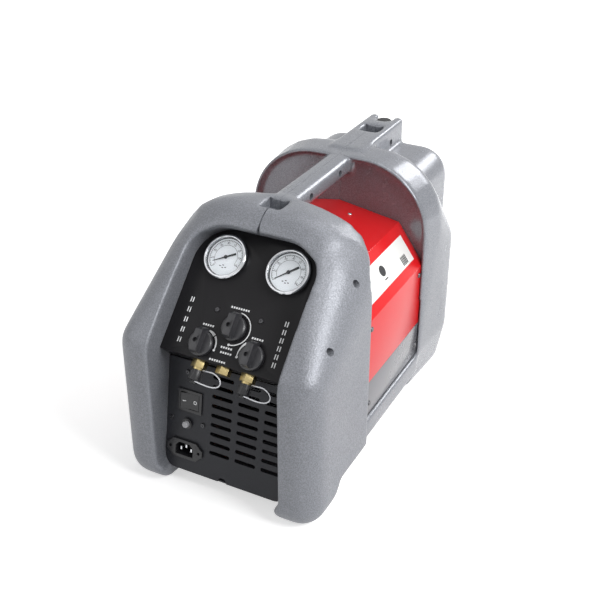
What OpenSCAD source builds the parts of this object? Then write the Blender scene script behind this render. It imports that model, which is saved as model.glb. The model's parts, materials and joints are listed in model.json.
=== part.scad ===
// Portable refrigerant recovery machine: two moulded shell halves around a sheet-metal
// chassis, with a slanted valve panel at the front and a fan barrel at the rear.
// Millimetres, +Z up, the front faces -Y, the origin is on the floor under the middle.

/* [Overall] */
// Length from the front legs to the end of the rear barrel
body_l = 486; // [470:1:540]
// Width over the shell
body_w = 262; // [256:1:300]
// Height over the boss
body_h = 334; // [332:1:345]

/* [Shell] */
// Wall of the moulded shell
shell_t = 6; // [4:0.5:8]
// Corner radius of the front arch, seen from the front
arch_r = 92; // [86:1:96]
// Height of the front arch's crown
crown_h = 332; // [328:1:334]
// Height where the front face starts to lean back
bend_h = 199; // [190:1:205]
// Rounding of the front legs' edges
leg_edge_r = 30; // [24:1:34]
// Rounding of the front arch's crown
crown_edge_r = 35; // [28:1:42]
// Reach of the crown's brow over the root of the handle
brow_l = 33; // [28:1:36]
// Length of the front foot on the floor
foot_l = 50; // [40:1:60]
// Depth of the rear arch along the machine
rear_arch_l = 108; // [102:1:114]
// Depth of the rear arch's roof
rear_roof_l = 42; // [38:1:46]
// Corner radius of the rear arch, seen from the front
rear_arch_r = 92; // [86:1:96]
// Width of the rear arch's rim
arch_rim_w = 250; // [250:1:256]
// Height where the rear arch starts to lean forward
rear_bend_h = 226; // [215:1:235]
// Rounding of the rear arch's back edge
rear_edge_r = 22; // [16:1:24]
// Half width of the rear arch at the floor
rear_foot_x = 122; // [116:1:126]
// Depth of the rebate that takes the hood's front end
rebate_d = 15; // [10:1:20]
// Depth of the rebate that takes the hood's rear end
rear_rebate_d = 8; // [6:1:10]

/* [Rear barrel] */
// Length of the fan barrel behind the rear arch
barrel_l = 53; // [48:1:60]
// Width of the fan barrel
barrel_w = 192; // [184:1:204]
// Height of the fan barrel's top
barrel_top = 303; // [296:1:312]
// Height of the fan barrel's underside
barrel_bottom = 62; // [56:1:72]
// Corner radius of the fan barrel
barrel_r = 38; // [30:1:44]
// Radius of the air outlet in the barrel's end
outlet_r = 80; // [74:1:84]

/* [Handle] */
// Width of the carrying handle
handle_w = 34; // [30:1:40]
// Height of the carrying handle's section
handle_h = 25; // [22:1:28]
// Rounding of the handle's long edges
handle_r = 8; // [5:0.5:10]
// Width of the boss behind the handle
boss_w = 49; // [44:1:56]

/* [Rails] */
// Height of the rails' underside
rail_bottom = 36; // [30:1:42]
// Height of the rails' top
rail_top = 63; // [58:1:70]
// Half width over the rails
rail_x = 125; // [123:0.5:127]
// Width of one rail
rail_w = 26; // [20:1:28]

/* [Front recess] */
// Width between the front legs
opening_w = 166; // [160:1:172]
// Width between the feet at the floor
foot_gap = 150; // [140:1:156]
// Corner radius at the top of the recess
opening_r = 45; // [35:1:55]
// Depth of the valve panel below the slanted face
recess_d = 30; // [24:1:34]
// Distance of the valve panel's lower edge up the slope from the bend
panel_rise = 8.5; // [6:0.5:12]
// Length of the valve panel up the slope
panel_l = 157; // [152:1:160]
// Depth of the valve panel's lower return
return_d = 26; // [24:1:28]
// Thickness of the panel sheet
sheet_t = 2; // [1.5:0.5:2.5]
// Clearance of the panels in the recess
panel_fit = 0.3; // [0.2:0.1:0.6]

/* [Vent panel] */
// Distance of the vent panel's lower edge behind the legs' face
vent_y = 19; // [15:1:24]
// Height of the vent panel's lower edge
vent_z = 20; // [18:1:22]
// Corner radius at the vent panel's foot
vent_r = 15; // [10:1:20]
// Length of one slot
slot_l = 28; // [24:1:30]
// Height of one slot
slot_h = 5; // [4:0.5:6]
// Spacing of the slot columns
slot_column = 35; // [33:0.5:36]
// Spacing of the slot rows
slot_row = 12.35; // [11.5:0.05:12.5]
// Height of the lowest row up the panel
slot_low = 35.5; // [33:0.5:38]
// Left end of the first column
slot_left = -22; // [-23:0.5:-20]

/* [Hood] */
// Half width of the hood
hood_x = 121; // [118:0.5:122]
// Height of the fold between side and slant
hood_side_h = 200; // [190:1:210]
// Half width of the roof at its folds
hood_fold_x = 85; // [75:1:95]
// Height of the roof's folds
hood_fold_h = 252; // [246:1:256]
// Height of the ridge
hood_ridge_h = 266; // [260:1:270]
// Height of the joint between hood and tray
hood_low_h = 113; // [105:1:120]
// Thickness of the hood's sheet
hood_t = 1.5; // [1:0.25:2]

/* [Tray] */
// Thickness of the tray's sheet
tray_t = 2; // [1.5:0.25:2.5]
// Thickness of the seal between tray and rail
seal_t = 3; // [2:0.5:4]

/* [Gauges] */
// Half distance between the gauges
gauge_x = 41; // [38:0.5:44]
// Height of the gauges up the panel
gauge_up = 122; // [116:1:124]
// Outside radius of the bezel
bezel_r = 27.5; // [26:0.5:29]
// Height of the bezel above the panel
bezel_h = 7; // [6:0.5:8]
// Depth of the gauge behind the panel
gauge_d = 14; // [12:0.5:14.5]

/* [Valves] */
// Half distance between the outer knobs
knob_x = 33; // [31:0.5:36]
// Height of the outer knobs up the panel
knob_up = 17.6; // [16.5:0.1:20]
// Height of the middle knob up the panel
mode_up = 44; // [42:0.5:48]
// Radius of a knob's skirt
knob_r = 15; // [13:0.5:16]
// Height of a knob over the panel
knob_h = 17; // [14:0.5:20]
// Radius of a valve stem
stem_r = 3; // [2.5:0.25:3.5]
// Running clearance of turning parts
run_fit = 0.05; // [0.02:0.01:0.08]
// Thickness of the valve block
block_t = 28; // [26:1:32]

/* [Ports] */
// Half distance between the outer ports
port_x = 32; // [31:0.5:34]
// Depth of the ports behind the panel's face
port_d = 10.5; // [10:0.25:12]
// Size across the flats of the port's hexagon
hex_af = 16; // [14:0.5:17]
// Length of the port's hexagon
hex_l = 9; // [7:0.5:10]
// Radius of the quarter-inch flare thread
thread_r = 5.55; // [5:0.05:5.6]
// Length of the thread below the hexagon
thread_l = 13; // [11:0.5:14]
// Outside radius of a port cap
cap_r = 7.25; // [7:0.25:8]
// Length of a port cap's barrel
cap_l = 12; // [11.5:0.5:13]
// Diameter of a cap tether
tether_d = 1.6; // [1.2:0.1:2]

/* [Power fittings] */
// Height of the power switch up the panel
rocker_up = 94.5; // [92:0.5:98]
// Width of the switch's rim
rocker_w = 33; // [31:0.5:34]
// Height of the switch's rim
rocker_h = 28; // [26:0.5:30]
// Swing of the switch's paddle between off and on
rocker_swing = 14; // [10:1:16]
// Height of the reset button up the panel
reset_up = 65; // [62:0.5:67]
// Radius of the reset button
reset_r = 4; // [3:0.25:4.5]
// Height of the mains inlet up the panel
inlet_up = 29.5; // [28:0.5:32]

/* [Compressor] */
// Radius of the electric motor
motor_r = 54; // [48:1:56]
// Number of fins on one cylinder
fin_count = 7; // [5:1:8]

/* [Fan] */
// Radius of the fan's blades
fan_r = 76; // [70:1:78]
// Number of fan blades
blade_count = 7; // [5:1:9]
// Radius of the fan's hub
hub_r = 28; // [24:1:32]
// Depth of the fan's hub
hub_l = 22; // [18:1:26]

/* [Hidden] */
$fn = 48;
// Sides of the circles that are blended into hulls
blend_fn = 28;
// Overlap of a cut past the face that it opens
eps = 1;
// Sides of a swept tube
sides = 8;

half_w = body_w / 2;
lean = 45;
// Where the crown's rounding ends and the front arch's flat back lies
crown_y = crown_h - crown_edge_r - bend_h + crown_edge_r * sqrt(2);
front_l = crown_y;
// Height of the rounding's centre at the bend of the front face
bend_centre_h = bend_h - leg_edge_r * (sqrt(2) - 1);
rear_y = body_l - barrel_l - rear_arch_l;
rear_end = body_l - barrel_l;
wall_y = rear_y + rear_rebate_d;
// End of the rear arch's roof, wall of its rim and lower end of its upright sides
rear_top_y = rear_y + rear_roof_l;
rim_t = 4;
rear_waist_h = rail_top + 7;
barrel_mid = (barrel_top + barrel_bottom) / 2;
inner_x = barrel_w / 2 - shell_t;

// The valve panel's lower edge, behind the slanted face
panel_y = (panel_rise + recess_d) * sin(lean);
panel_z = bend_h + (panel_rise - recess_d) * sin(lean);
// The return's rear edge, where the vent panel ends
return_y = panel_y + return_d * sin(lean);
return_z = panel_z - return_d * sin(lean);
vent_lean = atan2(return_y - vent_y, return_z - vent_z);
vent_l = (return_z - vent_z) / cos(vent_lean) - sheet_t;
lip_l = 22;
// Middles of the power fittings, from the left side of the opening
rocker_x = -opening_w / 2 + 32;
reset_x = -opening_w / 2 + 30;
inlet_x = -opening_w / 2 + 28;

// Heights and widths of the tray
tray_z = vent_z + sheet_t;
tray_floor = tray_z + tray_t;
flange_z = rail_top + seal_t;
tray_in_x = rail_x - rail_w - 1;
tray_front = vent_y + 5;
// Gap round the chassis where it enters the shell
socket_fit = 1;
body_y0 = front_l - rebate_d + 0.5;
body_y1 = wall_y - 0.5;
duct_low = flange_z + 9;
duct_high = hood_side_h + 30;

// Brow behind the crown: radius of its domed edge, height of that edge, and its lowest place
brow_r = 218;
brow_edge_h = 18;
brow_low = hood_ridge_h + 8;

// Handle and boss
handle_top = crown_h - 1;
handle_y0 = front_l - 12;
handle_y1 = wall_y + 3;
boss_y0 = rear_top_y - 20;
boss_pocket_y = body_l - 69;
pocket_l = 25;
crown_pocket_y = front_l - 4;
pocket_w = 26;
pocket_d = 14;
bumper_r = 11;
notch_r = bumper_r + 1;
bumper_y = body_l - 12;

// Screws
screw_r = 2;
head_r = 3.5;
head_h = 3;
well_r = 5;
well_d = 8;
// Side screws of the front arch: distance up its slanted face and depth behind that face
side_screws = [for (p = [[54, 19.5], [138, 36]])
    [(p[0] + p[1]) * sin(lean), bend_h + (p[0] - p[1]) * sin(lean)]];
side_well_d = 20;
handle_screws = [for (t = [0.4, 0.8]) handle_y0 + t * (handle_y1 - handle_y0)];
boss_screw_y = body_l - 44;

// Gauge interior
dial_r = bezel_r - 3.7;
dial_z = 1.5;
dial_t = 0.6;
lens_z = bezel_h - 2.5;
lens_t = 1.5;
needle_z = dial_z + dial_t + 0.5;
needle_t = 0.6;
arbor_r = 0.8;
input_zero = 208;
output_zero = 218;

// Valve block behind the panel
block_z = -sheet_t;
block_x = knob_x + 16;
block_low = sheet_t;
block_high = mode_up + 15;
block_back = block_z - block_t;
panel_hole = stem_r + 0.6;
stem_in = 18;
bar_w = 9;
bar_over = 3;
bar_low = 1;
bar_l = knob_r - 1;
set_screw_r = 1.6;
skirt_h = 6;
knob_gap = 0.5;

// Ports below the panel's return
neck_l = 2.4;
neck_r = 6.1;
cap_gap = hex_l + neck_l + 0.3;
spigot_r = 5;
spigot_l = 10;
stud_r = 2.6;
stud_l = 2.2;
button_r = 4.5;
button_l = 1.4;
rib_r = 0.5;

// Switch, breaker and inlet
rim_h = 2;
rim_w = 1.8;
paddle_gap = 0.6;
switch_in_w = rocker_w - 7;
switch_in_h = rocker_h - 7;
switch_d = 24;
pivot_z = -2;
pivot_r = 1.5;
pin_l = 0.8;
switch_in_d = 14;
collar_r = reset_r + 2.5;
collar_h = 3;
reset_out = 5;
reset_travel = 2.5;
reset_bore = 12;
breaker_in = 10;
breaker_w = 16;
breaker_h = 28;
breaker_d = 34;
inlet_w = 28;
inlet_h = 20;
inlet_ear = 25;
socket_w = 24.4;
socket_h = 16.4;
socket_d = 17;
socket_cut = 5;
inlet_t = 3;
pin_gap = 7;

// Compressor set on the tray
mount_r = 11;
mount_h = 18;
cradle_z = tray_floor + mount_h;
cradle_t = 4;
cradle_x = 52;
saddle_t = 6;
// Gap between pieces that are seated in one another
seat_gap = 0.02;
motor_z = cradle_z + cradle_t + motor_r + 6;
// Motor and crankcase fill their shares of the chassis
chassis_l = body_y1 - body_y0;
motor_l = 0.54 * chassis_l;
motor_y1 = body_y1 - 16;
motor_y0 = motor_y1 - motor_l;
case_x = 38;
case_l = 0.27 * chassis_l;
fin_r = case_l / 2 - 1;
case_y0 = motor_y0 - case_l;
head_x = 106;
head_t = 10;
mount_ys = [case_y0 + 16, motor_y1 - 18];
tube_r = 4;
gauge_tube_r = 2;
can_r = 16;
can_h = 70;
side_gap = 0.3;
filter_r = 15;
filter_l = 84;
filter_x = opening_w / 2 - tube_r - 2;
filter_y0 = motor_y0 + 4;
filter_mid = tray_floor + filter_r + side_gap;
head_top = motor_z + fin_r - 4;
head_mid = head_x - head_t / 2;
head_y = case_y0 + case_l / 2;
// Pipes: height of their ends on the valve block, and of their run over the cylinders
line_up = 30;
line_out = 16;
line_top = head_top + 22;
gauge_line_up = gauge_up - 12;

// Condenser and fan in the rear
coil_y = wall_y + shell_t + 6;
coil_d = 38;
coil_x = inner_x - 4;
coil_low = duct_low + 13;
coil_h = duct_high - coil_low - 6;
coil_fins = 25;
fin_t = 1.5;
fan_y = body_l - 62;
blade_t = 2.4;
guard_t = 3;
guard_bar = 3;
guard_y = body_l - shell_t - guard_t;
fan_motor_r = 30;
fan_motor_l = guard_y - fan_y - hub_l - 3;
shaft_r = 3;

// Cap tether from its port's neck out to the right and back to the cap's stud; x counts from
// the port
tether_loop = [
    [7, -216.2, 169.3], [11, -217.2, 170.4], [15, -218, 171.2], [19, -218.5, 171.8], [23, -219, 172],
    [27, -220, 171.2], [30.5, -221, 169.6], [33, -222, 167.4], [34.2, -223.2, 164.8],
    [33.6, -224.4, 162], [31, -225.4, 159.6], [26.5, -226.2, 158.2], [20, -227, 158],
    [13, -227.6, 159], [7, -228, 160.2], [3, -228, 160.8]
];

shell_grey = "#9698A0";
panel_black = "#232226";
sheet_black = "#37383E";
hood_red = "#D02428";
tray_grey = "#8C8D93";
brass_tone = "#D2B872";
steel_tone = "#C9CBCF";
copper_tone = "#B87348";
rubber_black = "#1C1C1E";

// Frames of reference

module from_front() {
    translate([0, -body_l / 2, 0]) children();
}

// Valve panel: x across, y up the slope, z out of the panel's face
module on_valve_panel() {
    from_front() translate([0, panel_y, panel_z]) rotate([lean, 0, 0]) children();
}

// Vent panel: the same, on the lower panel
module on_vent_panel() {
    from_front() translate([0, vent_y, vent_z]) rotate([90 - vent_lean, 0, 0]) children();
}

// Draws a profile in x and z, drawn out along the machine
module along(y0, y1) {
    translate([0, y1, 0]) rotate([90, 0, 0]) linear_extrude(y1 - y0) children();
}

// Rectangle of width w from low to high with rounded corners
module rounded(w, low, high, r) {
    translate([-w / 2 + r, low]) square([w - 2 * r, high - low]);
    translate([-w / 2, low + r]) square([w, high - low - 2 * r]);
    for (x = [-1, 1], z = [low + r, high - r]) translate([x * (w / 2 - r), z]) circle(r);
}

// Rounded only at its two upper corners
module round_topped(w, low, high, r) {
    translate([-w / 2, low]) square([w, high - low - r]);
    translate([-w / 2 + r, low]) square([w - 2 * r, high - low]);
    for (x = [-1, 1]) translate([x * (w / 2 - r), high - r]) circle(r);
}

// Rounded only at its two lower corners
module round_footed(w, low, high, r) {
    translate([-w / 2, low + r]) square([w, high - low - r]);
    translate([-w / 2 + r, low]) square([w - 2 * r, high - low]);
    for (x = [-1, 1]) translate([x * (w / 2 - r), low + r]) circle(r);
}

// Moulded shell

// Half of a ring with a round edge, flat on its back, facing the front
module edge_ring(r, edge) {
    rotate([90, 0, 0]) rotate_extrude($fn = blend_fn) intersection() {
        translate([r - edge, 0]) circle(edge, $fn = blend_fn);
        square([r, edge]);
    }
}

module disc(r) {
    rotate([90, 0, 0]) cylinder(r = r, h = 1, $fn = blend_fn);
}

// Ball whose facets reach its full radius along all three axes
module ball(r) {
    rotate_extrude($fn = blend_fn) intersection() {
        circle(r, $fn = blend_fn);
        translate([0, -r]) square([r, 2 * r]);
    }
}

module front_form() {
    leg_x = half_w - leg_edge_r;
    hull() for (s = [-1, 1]) {
        translate([s * leg_x, leg_edge_r, leg_edge_r]) ball(leg_edge_r);
        translate([s * leg_x, leg_edge_r, bend_centre_h]) ball(leg_edge_r);
        translate([s * leg_x, front_l, leg_edge_r]) disc(leg_edge_r);
        translate([s * (half_w - arch_r), crown_y, crown_h - arch_r])
            edge_ring(arch_r, crown_edge_r);
    }
}

module rear_form() {
    side_x = half_w - rear_edge_r;
    foot_x = rear_foot_x - rear_edge_r;
    back_y = rear_end - rear_edge_r;
    draft = (body_w - arch_rim_w) / 2;
    hull() for (s = [-1, 1]) {
        translate([s * (arch_rim_w / 2 - rear_arch_r), rear_y + 1, handle_top - rear_arch_r])
            disc(rear_arch_r);
        translate([s * (half_w - rear_arch_r), rear_top_y, handle_top - rear_arch_r])
            mirror([0, 1, 0]) edge_ring(rear_arch_r, rear_edge_r);
        for (p = [[side_x, rear_bend_h - rear_edge_r], [side_x, rear_waist_h], [foot_x, rear_edge_r]]) {
            translate([s * (p[0] - draft), rear_y + 1, p[1]]) disc(rear_edge_r);
            translate([s * p[0], back_y, p[1]]) ball(rear_edge_r);
        }
    }
}

module barrel_form() {
    edge = 15;
    hull() for (x = [-1, 1], z = [barrel_bottom + barrel_r, barrel_top - barrel_r])
        translate([x * (barrel_w / 2 - barrel_r), 0, z]) {
            translate([0, rear_top_y, 0]) disc(barrel_r);
            for (a = [0, 30, 60, 90])
                translate([0, body_l - edge + edge * sin(a), 0])
                    disc(barrel_r - edge * (1 - cos(a)));
        }
}

// Space between the front legs, closing in a little at the feet
module leg_gap() {
    round_footed(opening_w, vent_z, hood_fold_h - 4, vent_r);
    translate([-foot_gap / 2, -eps]) square([foot_gap, vent_z + vent_r]);
}

// Room for the end of the tray and the hood
module chassis_socket() {
    polygon(hood_outline(-socket_fit));
    side_x = hood_x + socket_fit;
    translate([-side_x, rail_top]) square([2 * side_x, hood_low_h - rail_top + eps]);
    tray_room();
}

// Room for the tray between the rails
module tray_room() {
    side_x = tray_in_x + socket_fit;
    translate([-side_x, -eps]) square([2 * side_x, rail_top + 2 * eps]);
}

// One leg's hollow in a side view, ending inside the socket
module leg_hollow() {
    back_y = front_l - rebate_d + eps;
    low = rail_bottom + 9;
    high = hood_fold_h - 12;
    polygon([[18, low], [18, bend_h - 34], [front_l - 42, high], [back_y, high], [back_y, low]]);
}

module front_arch() {
    difference() {
        front_form();
        // Slanted recess of the valve panel, closed at the back by the shell's wall
        intersection() {
            translate([0, panel_y, panel_z]) rotate([lean, 0, 0]) translate([0, 0, -recess_d])
                linear_extrude(4 * recess_d)
                    round_topped(opening_w, -2 * recess_d, panel_l + 2 * panel_fit, opening_r);
            translate([-half_w, -body_l, 0]) cube([body_w, body_l + front_l - shell_t, 2 * body_h]);
        }
        along(-eps, front_l + eps) leg_gap();
        along(front_l - rebate_d, front_l + eps) chassis_socket();
        // Underside between the feet and the rails
        translate([-half_w - eps, 0, 0]) rotate([90, 0, 90]) linear_extrude(body_w + 2 * eps)
            polygon([[foot_l, -eps], [foot_l, 0], [foot_l + 24, rail_bottom],
                     [front_l + eps, rail_bottom], [front_l + eps, -eps]]);
        // Hollow legs, open to the rear
        for (s = [0, 1]) mirror([s, 0, 0]) translate([opening_w / 2 + shell_t, 0, 0])
            rotate([90, 0, 90]) linear_extrude(half_w - 3 * shell_t - opening_w / 2) leg_hollow();
    }
}

// Shallow dome behind the crown, which runs out above the hood
module crown_brow() {
    hull() {
        along(front_l - 1, front_l) intersection() {
            round_topped(body_w, 0, crown_h, arch_r);
            translate([-half_w, brow_low]) square([body_w, crown_h]);
        }
        along(front_l + brow_l - 1, front_l + brow_l) intersection() {
            translate([0, crown_h - brow_r]) circle(brow_r, $fn = 4 * blend_fn);
            translate([-half_w, crown_h - brow_edge_h]) square([body_w, brow_edge_h]);
        }
    }
}

module rear_arch() {
    difference() {
        rear_form();
        // Rebate with a flat wall, which takes the rear end of the hood
        along(rear_y - eps, wall_y)
            round_topped(2 * (hood_x + socket_fit), rail_top, handle_top - rim_t, rear_arch_r - rim_t);
        // Hollow behind the wall, open to the barrel
        hull() {
            along(wall_y + shell_t, rear_top_y)
                round_topped(arch_rim_w - 3 * shell_t, duct_low, handle_top - 1.5 * shell_t,
                             rear_arch_r - 1.5 * shell_t);
            along(wall_y + shell_t, rear_end - 2 * shell_t)
                round_topped(arch_rim_w - 3 * shell_t, duct_low, rear_bend_h - 1.5 * shell_t, barrel_r);
        }
        along(rear_top_y, rear_end + eps) barrel_bore();
        along(rear_y, wall_y + 2 * shell_t) rounded(2 * inner_x, duct_low, duct_high, 20);
        along(rear_y - eps, wall_y) tray_room();
        // Gap between the rear feet
        along(rear_y - eps, rear_end + eps) round_topped(foot_gap, -eps, rail_bottom + 9, 20);
    }
}

module barrel_bore() {
    rounded(2 * inner_x, barrel_bottom + shell_t, barrel_top - shell_t, barrel_r - shell_t);
}

module barrel() {
    difference() {
        barrel_form();
        along(rear_top_y - 2 * eps, body_l - shell_t) barrel_bore();
        translate([0, body_l + eps, barrel_mid]) rotate([90, 0, 0])
            cylinder(r = outlet_r, h = 2 * shell_t);
    }
}

module handle_bar() {
    along(handle_y0, handle_y1) rounded(handle_w, handle_top - handle_h, handle_top, handle_r);
}

// Boss with a square pocket and an open notch for the bumper
module boss() {
    difference() {
        along(boss_y0, body_l) round_topped(boss_w, barrel_top - 3, body_h, 4);
        translate([0, bumper_y, body_h - pocket_d]) {
            cylinder(r = notch_r, h = pocket_d + eps);
            translate([-notch_r, 0, 0]) cube([2 * notch_r, body_l - bumper_y + eps, pocket_d + eps]);
        }
    }
}

module rails() {
    for (s = [-1, 1])
        translate([s * (rail_x - rail_w / 2) - rail_w / 2, front_l - rebate_d - eps, rail_bottom])
            cube([rail_w, rear_y - front_l + rebate_d + 4 * eps, rail_top - rail_bottom]);
}

module pocket(y) {
    translate([-pocket_w / 2, y, handle_top - pocket_d]) cube([pocket_w, pocket_l, 2 * pocket_d]);
}

// Stepped hole from the right-hand side, open outwards
module screw_well(x, y, z, depth) {
    translate([x - depth, y, z]) rotate([0, 90, 0]) {
        cylinder(r = well_r, h = depth + 20);
        translate([0, 0, -well_d - eps]) cylinder(r = screw_r + 0.5, h = well_d + 2 * eps);
    }
}

// Places of the shell screws: x of the outer face, y, z and depth of the well
shell_screw_places = concat(
    [for (p = side_screws) [half_w, p[0], p[1], side_well_d]],
    [for (y = handle_screws) [handle_w / 2, y, handle_top - handle_h / 2, 6]],
    [[boss_w / 2, boss_screw_y, (barrel_top + body_h) / 2 - 6, 8]]);

// Right half of the shell, cut along the middle of the machine
module half_shell() {
    intersection() {
        difference() {
            union() {
                front_arch();
                crown_brow();
                rear_arch();
                barrel();
                handle_bar();
                boss();
                rails();
            }
            pocket(crown_pocket_y);
            pocket(boss_pocket_y);
        }
        translate([0, -eps, -eps]) cube([body_w, body_l + 2 * eps, body_h + 2 * eps]);
    }
}

module shell_left() {
    color(shell_grey) from_front() mirror([1, 0, 0]) half_shell();
}

module shell_right() {
    color(shell_grey) from_front() difference() {
        half_shell();
        for (p = shell_screw_places) screw_well(p[0], p[1], p[2], p[3]);
    }
}

module cap_screw(length) {
    translate([0, 0, -length]) cylinder(r = screw_r, h = length);
    difference() {
        cylinder(r = head_r, h = head_h);
        translate([0, 0, head_h - 1.4]) cylinder(r = 1.6, h = 2, $fn = 6);
    }
}

module shell_screws() {
    color(steel_tone) from_front() for (p = shell_screw_places)
        translate([p[0] - p[3], p[1], p[2]]) rotate([0, 90, 0]) cap_screw(well_d - 0.5);
}

// Sheet-metal chassis

module tray() {
    color(tray_grey) from_front() {
        along(body_y0, body_y1) {
            translate([-tray_in_x, tray_z]) square([2 * tray_in_x, tray_t]);
            for (s = [0, 1]) mirror([s, 0]) {
                translate([tray_in_x - tray_t, tray_z]) square([tray_t, flange_z + tray_t - tray_z]);
                translate([tray_in_x - tray_t, flange_z]) square([hood_x - tray_in_x + tray_t, tray_t]);
                translate([hood_x - tray_t, flange_z]) square([tray_t, hood_low_h - flange_z]);
            }
        }
        translate([-foot_gap / 2 + 1, tray_front, tray_z])
            cube([foot_gap - 2, body_y0 - tray_front + eps, tray_t]);
    }
}

module tray_seals() {
    color(rubber_black) from_front() for (s = [0, 1]) mirror([s, 0, 0])
        translate([rail_x - rail_w + 1, body_y0, rail_top])
            cube([rail_w - 6, body_y1 - body_y0, seal_t]);
}

// Outline of the hood's sheet, inset by t
function hood_outline(t) = let (slant = atan2(hood_fold_h - hood_side_h, hood_x - hood_fold_x))
    let (side = t * tan((90 - slant) / 2), roof = atan2(hood_ridge_h - hood_fold_h, hood_fold_x))
    let (fold = t / cos((slant - roof) / 2), turn = (slant + roof) / 2)
    let (right = [[hood_x - t, hood_low_h - (t > 0 ? eps : 0)], [hood_x - t, hood_side_h - side],
        [hood_fold_x - fold * sin(turn), hood_fold_h - fold * cos(turn)]])
    concat(right, [[0, hood_ridge_h - t / cos(roof)]],
        [for (i = [2, 1, 0]) [-right[i][0], right[i][1]]]);

module hood() {
    color(hood_red) from_front() along(body_y0, body_y1) difference() {
        polygon(hood_outline(0));
        polygon(hood_outline(hood_t));
    }
}

hood_screw_ys = [body_y0 + 36, body_y1 - 12];
module hood_screws() {
    color(rubber_black) from_front() {
        for (s = [-1, 1], y = hood_screw_ys, z = [hood_side_h - 12, flange_z + 16])
            translate([s * hood_x, y, z]) rotate([0, s * 90, 0]) cylinder(r1 = 3.6, r2 = 2.4, h = 1.6);
    }
}

module valve_panel() {
    color(panel_black) on_valve_panel() difference() {
        union() {
            translate([0, 0, -sheet_t]) linear_extrude(sheet_t)
                round_topped(opening_w - 2 * panel_fit, 0, panel_l, opening_r - panel_fit);
            translate([-opening_w / 2 + panel_fit, 0, -return_d])
                cube([opening_w - 2 * panel_fit, sheet_t, return_d]);
        }
        for (s = [-1, 1]) {
            translate([s * gauge_x, gauge_up, -2 * sheet_t]) cylinder(r = bezel_r - 2, h = 4 * sheet_t);
            translate([s * knob_x, knob_up, -2 * sheet_t]) cylinder(r = panel_hole, h = 4 * sheet_t);
        }
        translate([0, mode_up, -2 * sheet_t]) cylinder(r = panel_hole, h = 4 * sheet_t);
        for (x = [-port_x, 0, port_x])
            translate([x, -eps, -port_d]) rotate([-90, 0, 0])
                cylinder(r = spigot_r + panel_fit, h = sheet_t + 2 * eps);
    }
}

module slot() {
    translate([slot_h / 2, -slot_h / 2]) square([slot_l - slot_h, slot_h]);
    for (x = [slot_h / 2, slot_l - slot_h / 2]) translate([x, 0]) circle(slot_h / 2, $fn = 24);
}

module vent_panel() {
    fit = 2 * panel_fit;
    color(sheet_black) {
        on_vent_panel() difference() {
            translate([0, 0, -sheet_t]) linear_extrude(sheet_t) difference() {
                round_footed(opening_w - 2 * panel_fit, 0, vent_l, vent_r);
                for (c = [0:2], r = [0:8])
                    translate([slot_left + c * slot_column, slot_low + r * slot_row]) slot();
                translate([rocker_x, rocker_up])
                    square([rocker_w - 2 * rim_w, rocker_h - 2 * rim_w] + [fit, fit], center = true);
                translate([inlet_x, inlet_up]) square([inlet_w, inlet_h] + [fit, fit], center = true);
                translate([reset_x, reset_up]) circle(collar_r - 1);
                translate([-2, 0]) circle(6);
            }
        }
        // Lip that is folded back under the tray
        from_front() translate([-opening_w / 2 + vent_r + 2, vent_y + 1, vent_z])
            cube([opening_w - 2 * vent_r - 4, lip_l, sheet_t]);
    }
}

module pan_head() {
    difference() {
        cylinder(r1 = 3.2, r2 = 2.4, h = 1.8);
        translate([0, 0, 1]) cylinder(r = 1.2, h = 2, $fn = 6);
    }
}

vent_screws = [
    [rocker_x - 5, rocker_up + 36.5], [reset_x - 23, reset_up + 1], [reset_x + 21, reset_up + 3]
];
module panel_screws() {
    color(rubber_black) {
        on_valve_panel() for (s = [-1, 1]) translate([s * 28.5, mode_up + 16, 0]) pan_head();
        on_vent_panel() for (p = vent_screws) translate([p[0], p[1], 0]) pan_head();
    }
}

// Gauges

module gauge_case() {
    rotate_extrude($fn = 72) difference() {
        polygon([[0, -gauge_d], [bezel_r - 2.5, -gauge_d], [bezel_r - 2.5, 0], [bezel_r, 0],
                 [bezel_r, bezel_h - 2], [bezel_r - 1.6, bezel_h], [dial_r - 0.6, bezel_h],
                 [dial_r - 0.6, lens_z + lens_t], [0, lens_z + lens_t]]);
        translate([0, dial_z]) square([dial_r, lens_z + lens_t - dial_z + eps]);
        translate([0, dial_z - 4]) square([arbor_r + run_fit, 5]);
    }
}

module gauge_dial() {
    translate([0, 0, dial_z]) difference() {
        cylinder(r = dial_r - 0.1, h = dial_t);
        translate([0, 0, -eps]) cylinder(r = arbor_r + 0.4, h = dial_t + 2 * eps);
    }
}

module gauge_lens() {
    translate([0, 0, lens_z]) cylinder(r = dial_r - 0.1, h = lens_t - 0.1);
}

// Needle along +x with its tail behind, turned to the zero mark
module gauge_needle(zero) {
    rotate([0, 0, zero]) {
        translate([0, 0, needle_z]) linear_extrude(needle_t)
            polygon([[dial_r - 7, 0.25], [0, 0.9], [-dial_r * 0.55, 1.3], [-dial_r * 0.55, -1.3],
                     [0, -0.9], [dial_r - 7, -0.25]]);
        translate([0, 0, needle_z]) cylinder(r = 2.2, h = needle_t + 0.4);
        translate([0, 0, dial_z - 3]) cylinder(r = arbor_r, h = needle_z - dial_z + 3.2);
    }
}

module input_gauge() { on_valve_panel() translate([-gauge_x, gauge_up, 0]) children(); }
module output_gauge() { on_valve_panel() translate([gauge_x, gauge_up, 0]) children(); }

module input_gauge_case() { color(steel_tone) input_gauge() gauge_case(); }
module output_gauge_case() { color(steel_tone) output_gauge() gauge_case(); }
module input_dial() { color("white") input_gauge() gauge_dial(); }
module output_dial() { color("white") output_gauge() gauge_dial(); }
module input_lens() { color("#DCE6EA", 0.4) input_gauge() gauge_lens(); }
module output_lens() { color("#DCE6EA", 0.4) output_gauge() gauge_lens(); }
module input_needle() { color("black") input_gauge() gauge_needle(input_zero); }
module output_needle() { color("black") output_gauge() gauge_needle(output_zero); }

// Valves

valve_places = [[-knob_x, knob_up], [0, mode_up], [knob_x, knob_up]];

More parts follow.
